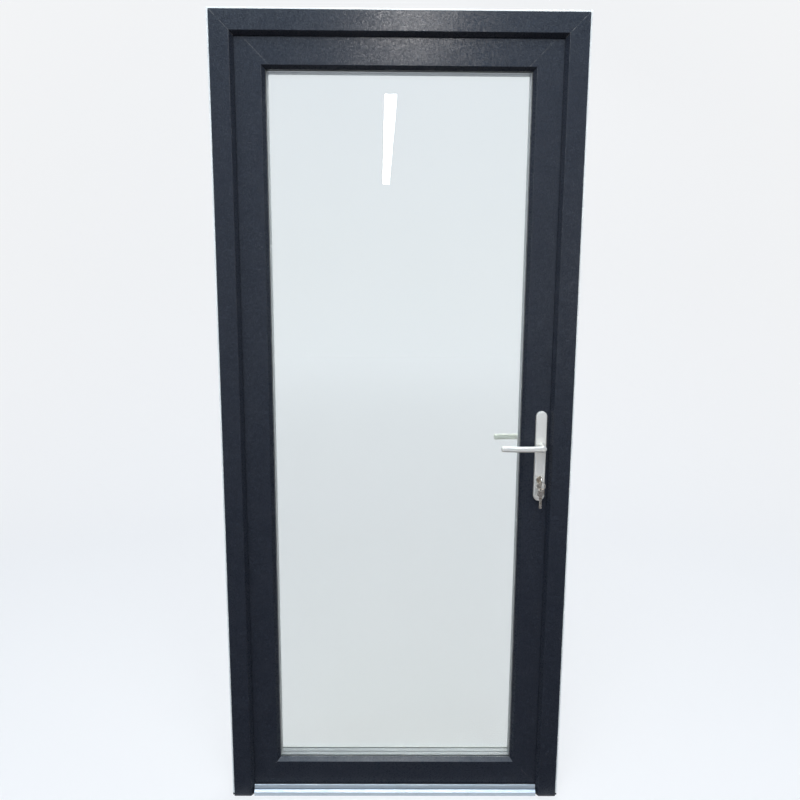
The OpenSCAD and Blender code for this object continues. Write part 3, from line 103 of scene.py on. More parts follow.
def newGroup(name, inputs, values, vectors=()):
    # a tuple makes a vector input, a number a plain one
    tree = bpy.data.node_groups.new(name, "ShaderNodeTree")
    for label, value in inputs.items():
        kind = "NodeSocketVector" if isinstance(value, tuple) else "NodeSocketFloat"
        tree.interface.new_socket(label, in_out="INPUT", socket_type=kind).default_value = value
    for kind, labels in (("NodeSocketFloat", values), ("NodeSocketVector", vectors)):
        for label in labels:
            tree.interface.new_socket(label, in_out="OUTPUT", socket_type=kind)
    return tree, tree.nodes.new("NodeGroupInput").outputs, tree.nodes.new("NodeGroupOutput").inputs


def placeGroup(tree, group, **values):
    node = addNode(tree, "ShaderNodeGroup", node_tree=group)
    for name, value in values.items():
        setSocket(tree, node.inputs[name], value)
    return node.outputs


def newMaterial(name, constants):
    material = bpy.data.materials.new(name)
    material.use_nodes = True
    tree = material.node_tree
    shader = tree.nodes["Principled BSDF"]
    for key, value in constants.items():
        shader.inputs[key].default_value = value
    place = tree.nodes.new("ShaderNodeTexCoord").outputs["Object"]
    return material, tree, shader, place


def setBump(tree, shader, height, depth):
    bump = addNode(tree, "ShaderNodeBump", {"Height": height, "Distance": depth})
    tree.links.new(bump.outputs["Normal"], shader.inputs["Normal"])


def setLook(tree, shader, base, rough, height, depth):
    tree.links.new(base, shader.inputs["Base Color"])
    tree.links.new(rough, shader.inputs["Roughness"])
    setBump(tree, shader, height, depth)


# Shared effects; scales are in waves or cells per metre
anywhere = (0.0, 0.0, 0.0)

grainLook = {
    "across": 900.0, "along": 300.0, "detail": 3.0, "roughness": 0.6,
    "poreScale": 2600.0, "poreDetail": 1.0, "poreShare": 0.35,
    "cellScale": 340.0, "cellShare": -1.6, "fleckFrom": 0.72, "fleckTo": 1.0,
    "mottleScale": 5.0, "mottleDetail": 4.0,
}


def makeGrainGroup():
    # height = noise stretched along the run + a share of fine pores - a share of the distance from the cell's
    # middle; each cell leans its own way, and the brightest ones are flecks
    tree, given, out = newGroup(
        "foilGrain",
        {"Place": anywhere, "Across": grainLook["across"], "Along": grainLook["along"], "Upright": 1.0},
        ("Height", "Fleck", "Mottle"), ("Lean",))
    strands = []
    for sideways, upwards in (("Along", "Across"), ("Across", "Along")):
        stretch = addNode(tree, "ShaderNodeCombineXYZ", {"X": given[sideways], "Y": given["Across"],
                                                         "Z": given[upwards]}).outputs[0]
        scaled = vectorMaths(tree, "MULTIPLY", {0: given["Place"], 1: stretch})[0]
        strands.append(noiseAt(tree, scaled, 1.0, grainLook["detail"], grainLook["roughness"]))
    grain = mixValue(tree, given["Upright"], *strands)
    pores = noiseAt(tree, given["Place"], grainLook["poreScale"], grainLook["poreDetail"])
    cells = addNode(tree, "ShaderNodeTexVoronoi", {"Vector": given["Place"], "Scale": grainLook["cellScale"]}).outputs
    fine = maths(tree, "MULTIPLY_ADD", pores, grainLook["poreShare"], grain)
    tree.links.new(maths(tree, "MULTIPLY_ADD", cells["Distance"], grainLook["cellShare"], fine), out["Height"])
    tone = addNode(tree, "ShaderNodeSeparateColor", {0: cells["Color"]}).outputs[0]
    tree.links.new(rampUp(tree, tone, grainLook["fleckFrom"], grainLook["fleckTo"]), out["Fleck"])
    tree.links.new(vectorMaths(tree, "SUBTRACT", {0: cells["Color"], 1: (0.5, 0.5, 0.5)})[0], out["Lean"])
    tree.links.new(noiseAt(tree, given["Place"], grainLook["mottleScale"], grainLook["mottleDetail"]), out["Mottle"])
    return tree


brushLook = {
    "stretch": (8.0, 900.0, 900.0), "lineDetail": 2.0, "streakScale": 0.22, "streakDetail": 3.0,
    "scuffScale": 42.0, "scuffDetail": 6.0, "scuffRoughness": 0.65, "scuffFrom": 0.52, "scuffTo": 0.72,
}


def makeBrushGroup():
    # noise stretched along the run, as fine lines and as wider streaks; scuffs lie where a plain noise is high
    tree, given, out = newGroup("brushLines", {"Place": anywhere, "Stretch": brushLook["stretch"]},
                                ("Lines", "Streaks", "Scuffs"))
    scaled = vectorMaths(tree, "MULTIPLY", {0: given["Place"], 1: given["Stretch"]})[0]
    tree.links.new(noiseAt(tree, scaled, 1.0, brushLook["lineDetail"]), out["Lines"])
    tree.links.new(noiseAt(tree, scaled, brushLook["streakScale"], brushLook["streakDetail"]), out["Streaks"])
    scuffs = noiseAt(tree, given["Place"], brushLook["scuffScale"], brushLook["scuffDetail"],
                     brushLook["scuffRoughness"])
    tree.links.new(rampUp(tree, scuffs, brushLook["scuffFrom"], brushLook["scuffTo"]), out["Scuffs"])
    return tree


dustLook = {
    "amount": 0.3, "patchScale": 24.0, "patchDetail": 5.0, "patchFrom": 0.35, "patchTo": 0.75,
    "upFrom": 0.2, "upTo": 0.9, "upShare": 0.8, "restShare": 0.2,
}


def makeDustGroup():
    # amount x patches x lie, where the lie grows as a face turns upwards
    tree, given, out = newGroup("fineDust", {"Place": anywhere, "Amount": dustLook["amount"]}, ("Mask",))
    normal = tree.nodes.new("ShaderNodeNewGeometry").outputs["Normal"]
    turnedUp = rampUp(tree, axesOf(tree, normal)["Z"], dustLook["upFrom"], dustLook["upTo"])
    lying = maths(tree, "MULTIPLY_ADD", turnedUp, dustLook["upShare"], dustLook["restShare"])
    patchy = noiseAt(tree, given["Place"], dustLook["patchScale"], dustLook["patchDetail"])
    broken = rampUp(tree, patchy, dustLook["patchFrom"], dustLook["patchTo"])
    tree.links.new(maths(tree, "MULTIPLY", maths(tree, "MULTIPLY", broken, lying), given["Amount"]), out["Mask"])
    return tree


runLook = {
    "weldHalf": 0.0010,  # half the width of a weld seam
    "noBottom": -10.0,  # a height below everything, for a frame with no bottom run
}


def makeRunGroup():
    # distances in from the outer edges: a point lies on an upright where the side is nearer than the end,
    # and on a mitre's weld where the two are about equal
    tree, given, out = newGroup(
        "profileRuns",
        {"Place": anywhere, "Half Width": doorHalfWidth, "Top": doorHeight, "Bottom": runLook["noBottom"],
         "Weld Half": runLook["weldHalf"]},
        ("In", "Upright", "Weld", "Depth"))
    axes = axesOf(tree, given["Place"])
    fromSide = maths(tree, "SUBTRACT", given["Half Width"], maths(tree, "ABSOLUTE", axes["X"]))
    fromTop = maths(tree, "SUBTRACT", given["Top"], axes["Z"])
    fromBottom = maths(tree, "SUBTRACT", axes["Z"], given["Bottom"])
    fromEnd = maths(tree, "MINIMUM", fromTop, fromBottom)
    tree.links.new(maths(tree, "MINIMUM", fromSide, fromEnd), out["In"])
    offMitre = maths(tree, "SUBTRACT", fromEnd, fromSide)
    tree.links.new(maths(tree, "GREATER_THAN", offMitre, 0.0), out["Upright"])
    near = maths(tree, "DIVIDE", maths(tree, "ABSOLUTE", offMitre), given["Weld Half"])
    tree.links.new(maths(tree, "SUBTRACT", 1.0, near, clamp=True), out["Weld"])
    tree.links.new(axes["Y"], out["Depth"])
    return tree


grainGroup = makeGrainGroup()
brushGroup = makeBrushGroup()
dustGroup = makeDustGroup()
runGroup = makeRunGroup()
print("shared effects made")

# Foiled profiles: anthracite foil outside, white plastic where the foil stops
foil = {
    "colour": (0.0125, 0.0149, 0.0210), "roughness": 0.26, "specular": 0.32, "ior": 1.47,
    "fleckColour": (0.034, 0.039, 0.051), "fleckShare": 0.5, "fleckDrop": 0.14, "mottle": 0.05,
    "grainDepth": 0.00010, "flakeTilt": 0.095,
    "weldColour": (0.005, 0.006, 0.008), "weldDepth": -1.5,
    "touchedColour": (0.16, 0.15, 0.14), "touchedFrom": 0.46, "touchedTo": 0.60,
    "patchScale": 55.0, "patchDetail": 3.0,
    "dust": 0.10, "dustColour": (0.22, 0.22, 0.22),
    "white": (0.81, 0.80, 0.75), "whiteRoughness": 0.30, "whiteGrain": 0.1,
    "toneFrom": 0.95, "toneShare": 0.08,
    "frameDepth": 0.0148, "leafDepth": 0.0135,  # how far back from the front the foil goes
    "edgeStrip": 0.0053, "stripBack": 0.0055,  # the bare white strip at the frame's rim
    "noStrip": -1.0,
}


def makeFoilMaterial(name, top, bottom, halfWidth, foilBack, stripIn, stripBack):
    material, tree, shader, place = newMaterial(name, {"IOR": foil["ior"], "Specular IOR Level": foil["specular"]})
    runs = placeGroup(tree, runGroup, Place=place, Top=top, Bottom=bottom, **{"Half Width": halfWidth})
    grain = placeGroup(tree, grainGroup, Place=place, Upright=runs["Upright"])
    dust = placeGroup(tree, dustGroup, Place=place, Amount=foil["dust"])
    # foil lies in front of foilBack, but not on the strip at the rim
    outside = maths(tree, "LESS_THAN", runs["Depth"], foilBack)
    onStrip = maths(tree, "MULTIPLY", maths(tree, "LESS_THAN", runs["In"], stripIn),
                    maths(tree, "GREATER_THAN", runs["Depth"], stripBack))
    foilMask = maths(tree, "SUBTRACT", outside, onStrip, clamp=True)
    # dark foil with flecks, then the weld seam with touched-up patches, then dust
    dark = mixColour(tree, maths(tree, "MULTIPLY", grain["Fleck"], foil["fleckShare"]), shades(foil["colour"]),
                     shades(foil["fleckColour"]))
    patches = noiseAt(tree, place, foil["patchScale"], foil["patchDetail"])
    touched = rampUp(tree, patches, foil["touchedFrom"], foil["touchedTo"])
    seam = mixColour(tree, touched, shades(foil["weldColour"]), shades(foil["touchedColour"]))
    dark = mixColour(tree, runs["Weld"], dark, seam)
    dark = mixColour(tree, dust["Mask"], dark, shades(foil["dustColour"]))
    tone = maths(tree, "MULTIPLY_ADD", grain["Mottle"], foil["toneShare"], foil["toneFrom"])
    pale = vectorMaths(tree, "SCALE", {0: foil["white"], "Scale": tone})[0]
    tree.links.new(mixColour(tree, foilMask, pale, dark), shader.inputs["Base Color"])
    rough = maths(tree, "MULTIPLY_ADD", grain["Fleck"], -foil["fleckDrop"], foil["roughness"])
    rough = maths(tree, "MULTIPLY_ADD", grain["Mottle"], foil["mottle"], rough)
    tree.links.new(mixValue(tree, foilMask, foil["whiteRoughness"], rough), shader.inputs["Roughness"])
    # normal = bumped normal + each cell's lean x tilt, made unit length
    foilHeight = maths(tree, "MULTIPLY_ADD", runs["Weld"], foil["weldDepth"], grain["Height"])
    whiteHeight = maths(tree, "MULTIPLY", grain["Height"], foil["whiteGrain"])
    bump = addNode(tree, "ShaderNodeBump", {"Height": mixValue(tree, foilMask, whiteHeight, foilHeight),
                                            "Distance": foil["grainDepth"]}).outputs["Normal"]
    tilt = maths(tree, "MULTIPLY", foilMask, foil["flakeTilt"])
    leaning = vectorMaths(tree, "SCALE", {0: grain["Lean"], "Scale": tilt})[0]
    summed = vectorMaths(tree, "ADD", {0: bump, 1: leaning})[0]
    tree.links.new(vectorMaths(tree, "NORMALIZE", {0: summed})[0], shader.inputs["Normal"])
    return material


foilFrame = makeFoilMaterial("foilFrame", doorHeight, runLook["noBottom"], doorHalfWidth,
                             frameFront + foil["frameDepth"], foil["edgeStrip"], frameFront + foil["stripBack"])
foilLeaf = makeFoilMaterial("foilLeaf", leafTop, leafLow.z, leafHigh.x,
                            leafFront + foil["leafDepth"], foil["noStrip"], 0.0)
print("foil materials made")


def makeWhitePlastic():
    # extruded plastic: drawn lines along the run, a broad change of tone, a little dust
    look = {
        "colour": (0.81, 0.80, 0.75), "shade": (0.71, 0.70, 0.645), "shadeShare": 0.3, "ior": 1.53,
        "roughness": 0.26, "mottleRough": 0.10, "across": 420.0, "along": 6.0, "depth": 0.00006,
        "dust": 0.25, "dustColour": (0.55, 0.53, 0.50),
    }
    material, tree, shader, place = newMaterial("whitePlastic", {"IOR": look["ior"]})
    grain = placeGroup(tree, grainGroup, Place=place, Across=look["across"], Along=look["along"])
    dust = placeGroup(tree, dustGroup, Place=place, Amount=look["dust"])
    base = mixColour(tree, maths(tree, "MULTIPLY", grain["Mottle"], look["shadeShare"]), shades(look["colour"]),
                     shades(look["shade"]))
    base = mixColour(tree, dust["Mask"], base, shades(look["dustColour"]))
    rough = maths(tree, "MULTIPLY_ADD", grain["Mottle"], look["mottleRough"], look["roughness"])
    setLook(tree, shader, base, rough, grain["Height"], look["depth"])
    return material


def makeGalvanised():
    # zinc spangle: cells of slightly different tone and gloss, with fine speckle
    look = {
        "colour": (0.56, 0.58, 0.60), "dark": (0.36, 0.38, 0.40), "darkShare": 0.6, "cellScale": 180.0,
        "roughness": 0.30, "cellRough": 0.18, "speckleScale": 900.0, "speckleDetail": 3.0, "depth": 0.00003,
    }
    material, tree, shader, place = newMaterial("galvanisedSteel", {"Metallic": 1.0})
    cells = addNode(tree, "ShaderNodeTexVoronoi", {"Vector": place, "Scale": look["cellScale"]}).outputs
    tone = addNode(tree, "ShaderNodeSeparateColor", {0: cells["Color"]}).outputs
    speckle = noiseAt(tree, place, look["speckleScale"], look["speckleDetail"])
    base = mixColour(tree, maths(tree, "MULTIPLY", tone[0], look["darkShare"]), shades(look["colour"]),
                     shades(look["dark"]))
    rough = maths(tree, "MULTIPLY_ADD", tone[1], look["cellRough"], look["roughness"])
    setLook(tree, shader, base, rough, speckle, look["depth"])
    return material


brushedMetals = {
    "sillAluminium": {"colour": (0.60, 0.65, 0.69), "shade": (0.48, 0.52, 0.55), "roughness": 0.42,
                      "stretch": (6.0, 900.0, 900.0), "scuffs": 0.35},
    "satinAluminium": {"colour": (0.83, 0.80, 0.735), "shade": (0.73, 0.70, 0.64), "roughness": 0.50,
                       "stretch": (500.0, 500.0, 40.0), "scuffs": 0.12},
}
brushing = {"streakShare": 0.5, "lineRough": 0.16, "scuffRough": 0.10, "depth": 0.00003,
            "dustColour": (0.40, 0.39, 0.37)}


def makeBrushedAluminium(name):
    # shade = half the streaks + the scuffs; scuffs and lines also roughen the metal
    look = brushedMetals[name]
    material, tree, shader, place = newMaterial(name, {"Metallic": 1.0})
    brush = placeGroup(tree, brushGroup, Place=place, Stretch=look["stretch"])
    dust = placeGroup(tree, dustGroup, Place=place, Amount=look["scuffs"])
    scuffed = maths(tree, "MULTIPLY", brush["Scuffs"], look["scuffs"])
    mask = maths(tree, "MULTIPLY_ADD", brush["Streaks"], brushing["streakShare"], scuffed)
    base = mixColour(tree, mask, shades(look["colour"]), shades(look["shade"]))
    base = mixColour(tree, dust["Mask"], base, shades(brushing["dustColour"]))
    rough = maths(tree, "MULTIPLY_ADD", brush["Lines"], brushing["lineRough"], look["roughness"])
    rough = maths(tree, "MULTIPLY_ADD", brush["Scuffs"], brushing["scuffRough"], rough)
    setLook(tree, shader, base, rough, brush["Lines"], brushing["depth"])
    return material


def makeSpacerMetal():
    # two rows of tiny breather holes on the faces that look into a glazing gap: a hole is where the distance
    # from the nearest hole's middle, along the run and across it, is less than its radius
    look = {
        "colour": (0.36, 0.36, 0.37), "bright": (0.52, 0.52, 0.53), "roughness": 0.40, "lineRough": 0.2,
        "stretch": (60.0, 700.0, 60.0), "depth": 0.00006,
        "pitch": 0.0042, "holeRadius": 0.0006, "holeCore": 0.6, "rowOff": 0.003, "holeShadeColour": (0.03, 0.03, 0.03),
        "upFrom": 0.7,  # a face whose normal rises more than this runs along X
    }
    material, tree, shader, place = newMaterial("spacerAluminium", {"Metallic": 1.0})
    brush = placeGroup(tree, brushGroup, Place=place, Stretch=look["stretch"])
    axes = axesOf(tree, place)
    along = []
    for axis in ("X", "Z"):
        cell = maths(tree, "FRACT", maths(tree, "DIVIDE", axes[axis], look["pitch"]))
        along.append(maths(tree, "MULTIPLY", maths(tree, "SUBTRACT", cell, 0.5), look["pitch"]))
    normal = tree.nodes.new("ShaderNodeNewGeometry").outputs["Normal"]
    faceUp = maths(tree, "GREATER_THAN", maths(tree, "ABSOLUTE", axesOf(tree, normal)["Z"]), look["upFrom"])
    run = mixValue(tree, faceUp, along[1], along[0])
    paneDepth = paneHigh.y - paneLow.y
    gapPitch = middlePaneFront - paneLow.y
    gapMiddle = paneHigh.y + (gapPitch - paneDepth) / 2
    inGap = maths(tree, "WRAP", maths(tree, "SUBTRACT", axes["Y"], gapMiddle), -gapPitch / 2, gapPitch / 2)
    offRow = maths(tree, "SUBTRACT", maths(tree, "ABSOLUTE", inGap), look["rowOff"])
    squares = [maths(tree, "POWER", maths(tree, "ABSOLUTE", off), 2.0) for off in (run, offRow)]
    reach = maths(tree, "SQRT", maths(tree, "ADD", *squares))
    hole = rampUp(tree, reach, look["holeRadius"], look["holeRadius"] * look["holeCore"])
    base = mixColour(tree, brush["Streaks"], shades(look["colour"]), shades(look["bright"]))
    # painted shade: each hole is coloured near-black for the dark inside it, and the bump only dents it slightly
    base = mixColour(tree, hole, base, shades(look["holeShadeColour"]))
    rough = maths(tree, "MULTIPLY_ADD", brush["Lines"], look["lineRough"], look["roughness"])
    setLook(tree, shader, base, rough, maths(tree, "MULTIPLY_ADD", hole, -1.0, brush["Lines"]), look["depth"])
    return material


def makeNickelBrass():
    # nickel plate, worn through to brass in small patches
    look = {
        "nickel": (0.72, 0.66, 0.58), "brass": (0.34, 0.25, 0.15), "roughness": 0.25,
        "wornScale": 160.0, "wornDetail": 5.0, "wornFrom": 0.47, "wornTo": 0.68, "wornRough": 0.12,
        "stretch": (300.0, 300.0, 60.0), "lineRough": 0.12, "depth": 0.00003,
    }
    material, tree, shader, place = newMaterial("nickelBrass", {"Metallic": 1.0})
    brush = placeGroup(tree, brushGroup, Place=place, Stretch=look["stretch"])
    mask = rampUp(tree, noiseAt(tree, place, look["wornScale"], look["wornDetail"]), look["wornFrom"], look["wornTo"])
    base = mixColour(tree, mask, shades(look["nickel"]), shades(look["brass"]))
    rough = maths(tree, "MULTIPLY_ADD", mask, look["wornRough"], look["roughness"])
    rough = maths(tree, "MULTIPLY_ADD", brush["Lines"], look["lineRough"], rough)
    setLook(tree, shader, base, rough, brush["Lines"], look["depth"])
    return material


darkMatts = {
    "blackPlastic": {"colour": (0.020, 0.020, 0.023), "shade": (0.034, 0.034, 0.037), "roughness": 0.50,
                     "across": 700.0, "along": 700.0, "dust": 0.35},
    "sealRubber": {"colour": (0.012, 0.012, 0.012), "shade": (0.022, 0.022, 0.022), "roughness": 0.66,
                   "across": 900.0, "along": 30.0, "dust": 0.25},
    "edgeSealant": {"colour": (0.010, 0.010, 0.010), "shade": (0.018, 0.018, 0.018), "roughness": 0.55,
                    "across": 120.0, "along": 40.0, "dust": 0.05},
}
matt = {"ior": 1.5, "specular": 0.35, "mottleRough": 0.15, "depth": 0.00008, "dustColour": (0.20, 0.19, 0.18)}


def makeDarkMatt(name):
    # moulded plastic, extruded rubber or sealant: dark, matt, lightly dusty
    look = darkMatts[name]
    material, tree, shader, place = newMaterial(name, {"IOR": matt["ior"], "Specular IOR Level": matt["specular"]})
    grain = placeGroup(tree, grainGroup, Place=place, Across=look["across"], Along=look["along"])
    dust = placeGroup(tree, dustGroup, Place=place, Amount=look["dust"])
    base = mixColour(tree, grain["Mottle"], shades(look["colour"]), shades(look["shade"]))
    base = mixColour(tree, dust["Mask"], base, shades(matt["dustColour"]))
    rough = maths(tree, "MULTIPLY_ADD", grain["Mottle"], matt["mottleRough"], look["roughness"])
    setLook(tree, shader, base, rough, grain["Height"], matt["depth"])
    return material


def makeClearGlass():
    # float glass: faint green, long soft ripples; lamps shine through it
    look = {
        "colour": (0.978, 0.988, 0.984), "shade": (0.970, 0.982, 0.977), "ior": 1.46,
        "driftScale": 3.0, "driftDetail": 1.0, "ripple": 0.00004, "shadowTint": (0.94, 0.97, 0.955),
    }
    material, tree, shader, place = newMaterial(
        "clearGlass", {"Roughness": 0.0, "IOR": look["ior"], "Transmission Weight": 1.0})
    drift = noiseAt(tree, place, look["driftScale"], look["driftDetail"])
    tree.links.new(mixColour(tree, drift, shades(look["colour"]), shades(look["shade"])),
                   shader.inputs["Base Color"])
    setBump(tree, shader, drift, look["ripple"])
    through = addNode(tree, "ShaderNodeBsdfTransparent", {"Color": shades(look["shadowTint"])})
    shadowRay = tree.nodes.new("ShaderNodeLightPath").outputs["Is Shadow Ray"]
    mix = addNode(tree, "ShaderNodeMixShader", {0: shadowRay, 1: shader.outputs[0], 2: through.outputs[0]})
    tree.links.new(mix.outputs[0], tree.nodes["Material Output"].inputs["Surface"])
    return material


finishes = {
    "white_plastic": makeWhitePlastic(),
    "galvanised": makeGalvanised(),
    "sill_aluminium": makeBrushedAluminium("sillAluminium"),
    "satin_aluminium": makeBrushedAluminium("satinAluminium"),
    "spacer_aluminium": makeSpacerMetal(),
    "nickel_brass": makeNickelBrass(),
    "black_plastic": makeDarkMatt("blackPlastic"),
    "seal_rubber": makeDarkMatt("sealRubber"),
    "sealant": makeDarkMatt("edgeSealant"),
    "clear_glass": makeClearGlass(),
}


def finishFor(part):
    if part["material_slot"] == "foiled_profile":
        return foilLeaf if part["node"].startswith("leaf_") else foilFrame
    return finishes[part["material_slot"]]


for part in frame["record"]["subparts"]:
    meshData = cadNodes[part["node"]].data
    meshData.materials.clear()
    meshData.materials.append(finishFor(part))


# Floor and backdrop in one sweep, under a soft sky

def raySorts(tree):
    # direct: seen by the camera, through glass too; mirrored: after at least one reflection
    rays = tree.nodes.new("ShaderNodeLightPath").outputs
    reflected = maths(tree, "GREATER_THAN", rays["Glossy Depth"], 0.5)
    straight = maths(tree, "MAXIMUM", rays["Is Camera Ray"], rays["Is Transmission Ray"])
    direct = maths(tree, "SUBTRACT", straight, reflected, clamp=True)
    bounced = maths(tree, "MAXIMUM", rays["Is Glossy Ray"], rays["Is Transmission Ray"])
    return direct, maths(tree, "MULTIPLY", bounced, reflected)


# low and high are the sky's colours below and above the given heights of view
skyLook = {"low": (0.62, 0.69, 0.79), "high": (0.36, 0.48, 0.70), "from": -0.05, "to": 0.45}

sweep = {
    "half": 9.0, "near": -14.0, "bend": 2.2, "radius": 1.6, "top": 6.0, "turnPoints": 24, "acrossPoints": 9,
    "colour": (0.70, 0.70, 0.695), "roughness": 0.9, "specular": 0.1,
    "fibreColour": (0.6, 0.6, 0.6), "fibreScale": 60.0, "fibreDetail": 4.0, "fibreShare": 0.05,
    # painted shade: in front of the door, reflections and bounced light see a near-black floor, which darkens the
    # door's lower part
    "frontShadeColour": (0.11, 0.09, 0.083), "fadeFrom": -0.03, "fadeTo": -0.08,  # darker in front, as the door sees it
    "glow": (0.93, 0.935, 0.94), "glowShare": 0.70, "plainFrom": 2.6, "plainTo": 7.0,
    "hazeFrom": -0.6, "hazeTo": -12.0,
}


def gridMesh(name, points):
    # points is an array rows x columns x 3; each cell of the grid becomes one four-sided face
    rows, columns = points.shape[:2]
    index = np.arange(rows * columns).reshape(rows, columns)
    corners = [index[:-1, :-1], index[:-1, 1:], index[1:, 1:], index[1:, :-1]]
    mesh = bpy.data.meshes.new(name)
    mesh.from_pydata(points.reshape(-1, 3), [], np.stack(corners, axis=-1).reshape(-1, 4))
    mesh.update()
    piece = bpy.data.objects.new(name, mesh)
    bpy.context.scene.collection.objects.link(piece)
    return piece


def makePaper():
    material, tree, shader, place = newMaterial(
        "studioPaper", {"Roughness": sweep["roughness"], "Specular IOR Level": sweep["specular"]})
    depth = axesOf(tree, place)["Y"]
    behind = rampUp(tree, depth, sweep["fadeTo"], sweep["fadeFrom"])
    direct, mirrored = raySorts(tree)
    # painted shade and reflection: the door's bounced light and reflections get the dark front colour, while the
    # camera gets the pale paper
    paper = mixColour(tree, maths(tree, "MAXIMUM", behind, direct), shades(sweep["frontShadeColour"]),
                      shades(sweep["colour"]))
    fibre = noiseAt(tree, place, sweep["fibreScale"], sweep["fibreDetail"])
    tree.links.new(mixColour(tree, maths(tree, "MULTIPLY", fibre, sweep["fibreShare"]), paper,
                             shades(sweep["fibreColour"])), shader.inputs["Base Color"])
    # seen directly, the paper glows more the farther it lies from the door, so it runs into the sky
    away = vectorMaths(tree, "LENGTH", {0: place})["Value"]
    plain = mixValue(tree, rampUp(tree, away, sweep["plainFrom"], sweep["plainTo"]), sweep["glowShare"], 1.0)
    inMirror = maths(tree, "MULTIPLY", maths(tree, "MULTIPLY", mirrored, behind), sweep["glowShare"])
    share = maths(tree, "MAXIMUM", maths(tree, "MULTIPLY", direct, plain), inMirror)
    glow = addNode(tree, "ShaderNodeEmission", {"Color": shades(sweep["glow"]), "Strength": 1.0})
    mix = addNode(tree, "ShaderNodeMixShader", {0: share, 1: shader.outputs[0], 2: glow.outputs[0]})
    # mirrored in the door, the far floor in front runs into the sky's low colour
    haze = addNode(tree, "ShaderNodeEmission", {"Color": shades(skyLook["low"]), "Strength": 1.0})
    distant = rampUp(tree, depth, sweep["hazeFrom"], sweep["hazeTo"], "SMOOTHSTEP")
    far = maths(tree, "MULTIPLY", mirrored, distant)
    mix = addNode(tree, "ShaderNodeMixShader", {0: far, 1: mix.outputs[0], 2: haze.outputs[0]})
    tree.links.new(mix.outputs[0], tree.nodes["Material Output"].inputs["Surface"])
    return material


def makeSweep():
    # straight floor, a quarter circle, then a straight wall, carried along X
    turn = np.linspace(0.0, math.pi / 2, sweep["turnPoints"])
    wall = sweep["bend"] + sweep["radius"]
    depth = np.concatenate([[sweep["near"]], sweep["bend"] + sweep["radius"] * np.sin(turn), [wall]])
    rise = np.concatenate([[0.0], sweep["radius"] * (1 - np.cos(turn)), [sweep["top"]]])
    across = np.linspace(-sweep["half"], sweep["half"], sweep["acrossPoints"])
    points = np.empty((len(across), len(depth), 3))
    points[..., 0] = across[:, None]
    points[..., 1] = depth[None, :]
    points[..., 2] = rise[None, :]
    piece = gridMesh("studioSweep", points)
    piece.data.polygons.foreach_set("use_smooth", np.ones(len(piece.data.polygons), dtype=bool))
    piece.data.materials.append(makePaper())


makeSweep()

# Lamps: a wide cool one high in front, a warm one behind, a fill at each side, and two strips overhead;
# places and sizes in metres, power in watts, turn in degrees, softEdge as a share of the lamp's width
lamps = {
    "softbox": {"at": (-0.4, -3.2, 5.2), "to": (0.0, 0.0, 1.0), "size": (4.6, 3.2), "power": 235.0,
                "tint": (0.77, 0.90, 1.0)},
    "backFill": {"at": (1.2, 2.4, 4.3), "to": (0.0, 0.0, 1.0), "size": (3.2, 2.6), "power": 215.0,
                 "tint": (1.0, 0.97, 0.93), "softEdge": 0.45},
    "stripLamp": {"at": (-0.059, -3.0, 2.30), "to": (-0.059, -3.0, 0.0), "size": (0.055, 3.1), "power": 16.0,
                  "turn": -1.06},
    "sideFill": {"at": (-3.4, -2.4, 1.9), "to": (0.2, 0.0, 1.1), "size": (2.0, 3.2), "power": 90.0,
                 "softEdge": 0.45},
    "rightFill": {"at": (2.4, -2.9, 1.6), "to": (0.4, 0.0, 1.0), "size": (1.4, 2.2), "power": 52.0,
                  "tint": (1.0, 0.95, 0.88), "softEdge": 0.45},
    "nearStrip": {"at": (0.055, -1.0, 2.45), "to": (0.055, -1.0, 0.0), "size": (0.055, 0.8), "power": 10.0,
                  "tint": (1.0, 0.96, 0.93)},
}
lampWhite = (1.0, 1.0, 1.0)
lampMiddle = 0.5  # a lamp's face runs from 0 to 1 both ways


def softenLamp(light, softEdge):
    # brightness = fall across x fall along, each 1 in the middle and 0 at the rim
    light.use_nodes = True
    tree = light.node_tree
    onFace = tree.nodes.new("ShaderNodeNewGeometry").outputs["Parametric"]
    centred = vectorMaths(tree, "SUBTRACT", {0: onFace, 1: (lampMiddle, lampMiddle, 0.0)})[0]
    reach = axesOf(tree, centred)
    fall = [rampUp(tree, maths(tree, "ABSOLUTE", reach[axis]), lampMiddle, lampMiddle - softEdge) for axis in "XY"]
    tree.links.new(maths(tree, "MULTIPLY", *fall), tree.nodes["Emission"].inputs["Strength"])


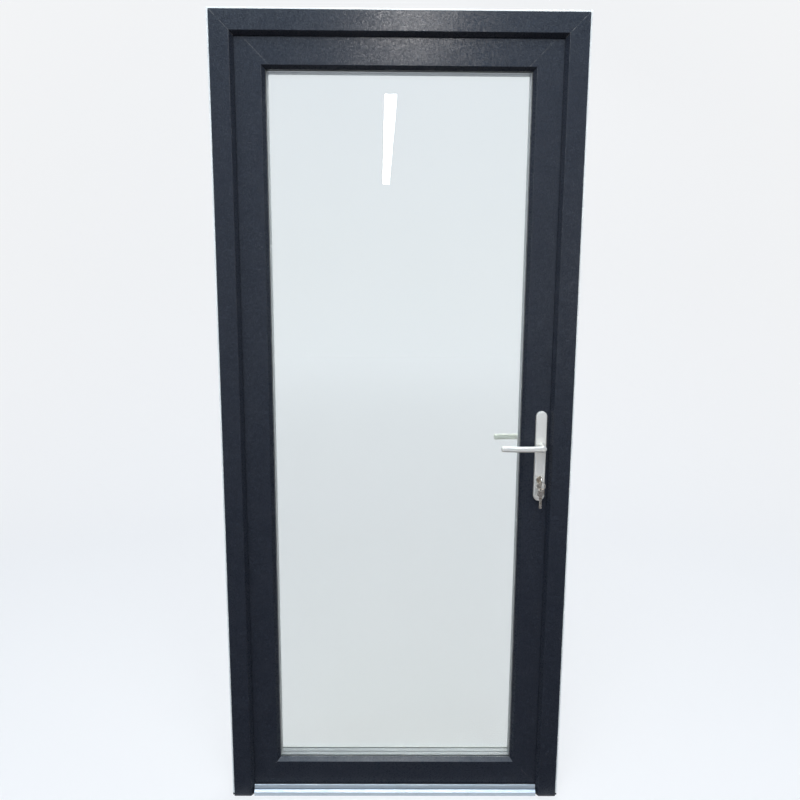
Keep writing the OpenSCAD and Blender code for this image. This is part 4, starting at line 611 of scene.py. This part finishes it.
def makeLamp(name, look):
    light = bpy.data.lights.new(name, "AREA")
    light.shape = "RECTANGLE"
    light.size, light.size_y = look["size"]
    light.energy = look["power"]
    light.color = look.get("tint", lampWhite)
    if "softEdge" in look:
        softenLamp(light, look["softEdge"])
    lamp = bpy.data.objects.new(name, light)
    aim = Vector(look["to"]) - Vector(look["at"])
    lamp.rotation_euler = aim.to_track_quat("-Z", "Y").to_euler()
    lamp.rotation_euler.z += math.radians(look.get("turn", 0.0))
    lamp.location = look["at"]
    bpy.context.scene.collection.objects.link(lamp)


for lampName, lampLook in lamps.items():
    makeLamp(lampName, lampLook)


def makeSky():
    # reflections see the low colour run up into the high one; the camera sees the paper's own white
    world = bpy.data.worlds.new("studioSky")
    bpy.context.scene.world = world
    world.use_nodes = True
    tree = world.node_tree
    direction = tree.nodes.new("ShaderNodeTexCoord").outputs["Generated"]
    climb = rampUp(tree, axesOf(tree, direction)["Z"], skyLook["from"], skyLook["to"], "SMOOTHSTEP")
    glow = mixColour(tree, climb, shades(skyLook["low"]), shades(skyLook["high"]))
    direct = raySorts(tree)[0]
    tree.links.new(mixColour(tree, direct, glow, shades(sweep["glow"])), tree.nodes["Background"].inputs["Color"])


makeSky()
print("light set")

# Camera at the photo's place: position in metres, angles in degrees, focal length in pixels of the picture
eye = {"at": (-0.009, -1.948, 1.4975), "pitch": -9.51, "yaw": 0.475, "roll": 0.378, "focalPixels": 728.0,
       "picturePixels": 800.0, "sensor": 36.0}


def makeCamera():
    # turned by roll about its own axis, then up by a quarter turn and the pitch, then by yaw about the upright
    lens = bpy.data.cameras.new("photoView")
    lens.sensor_width = eye["sensor"]
    lens.lens = eye["focalPixels"] / eye["picturePixels"] * eye["sensor"]
    camera = bpy.data.objects.new("photoView", lens)
    turn = (Matrix.Rotation(-math.radians(eye["yaw"]), 4, "Z")
            @ Matrix.Rotation(math.radians(90.0 + eye["pitch"]), 4, "X")
            @ Matrix.Rotation(math.radians(eye["roll"]), 4, "Z"))
    camera.matrix_world = Matrix.Translation(eye["at"]) @ turn
    bpy.context.scene.collection.objects.link(camera)
    bpy.context.scene.camera = camera


makeCamera()
bpy.context.scene.view_settings.view_transform = "Standard"
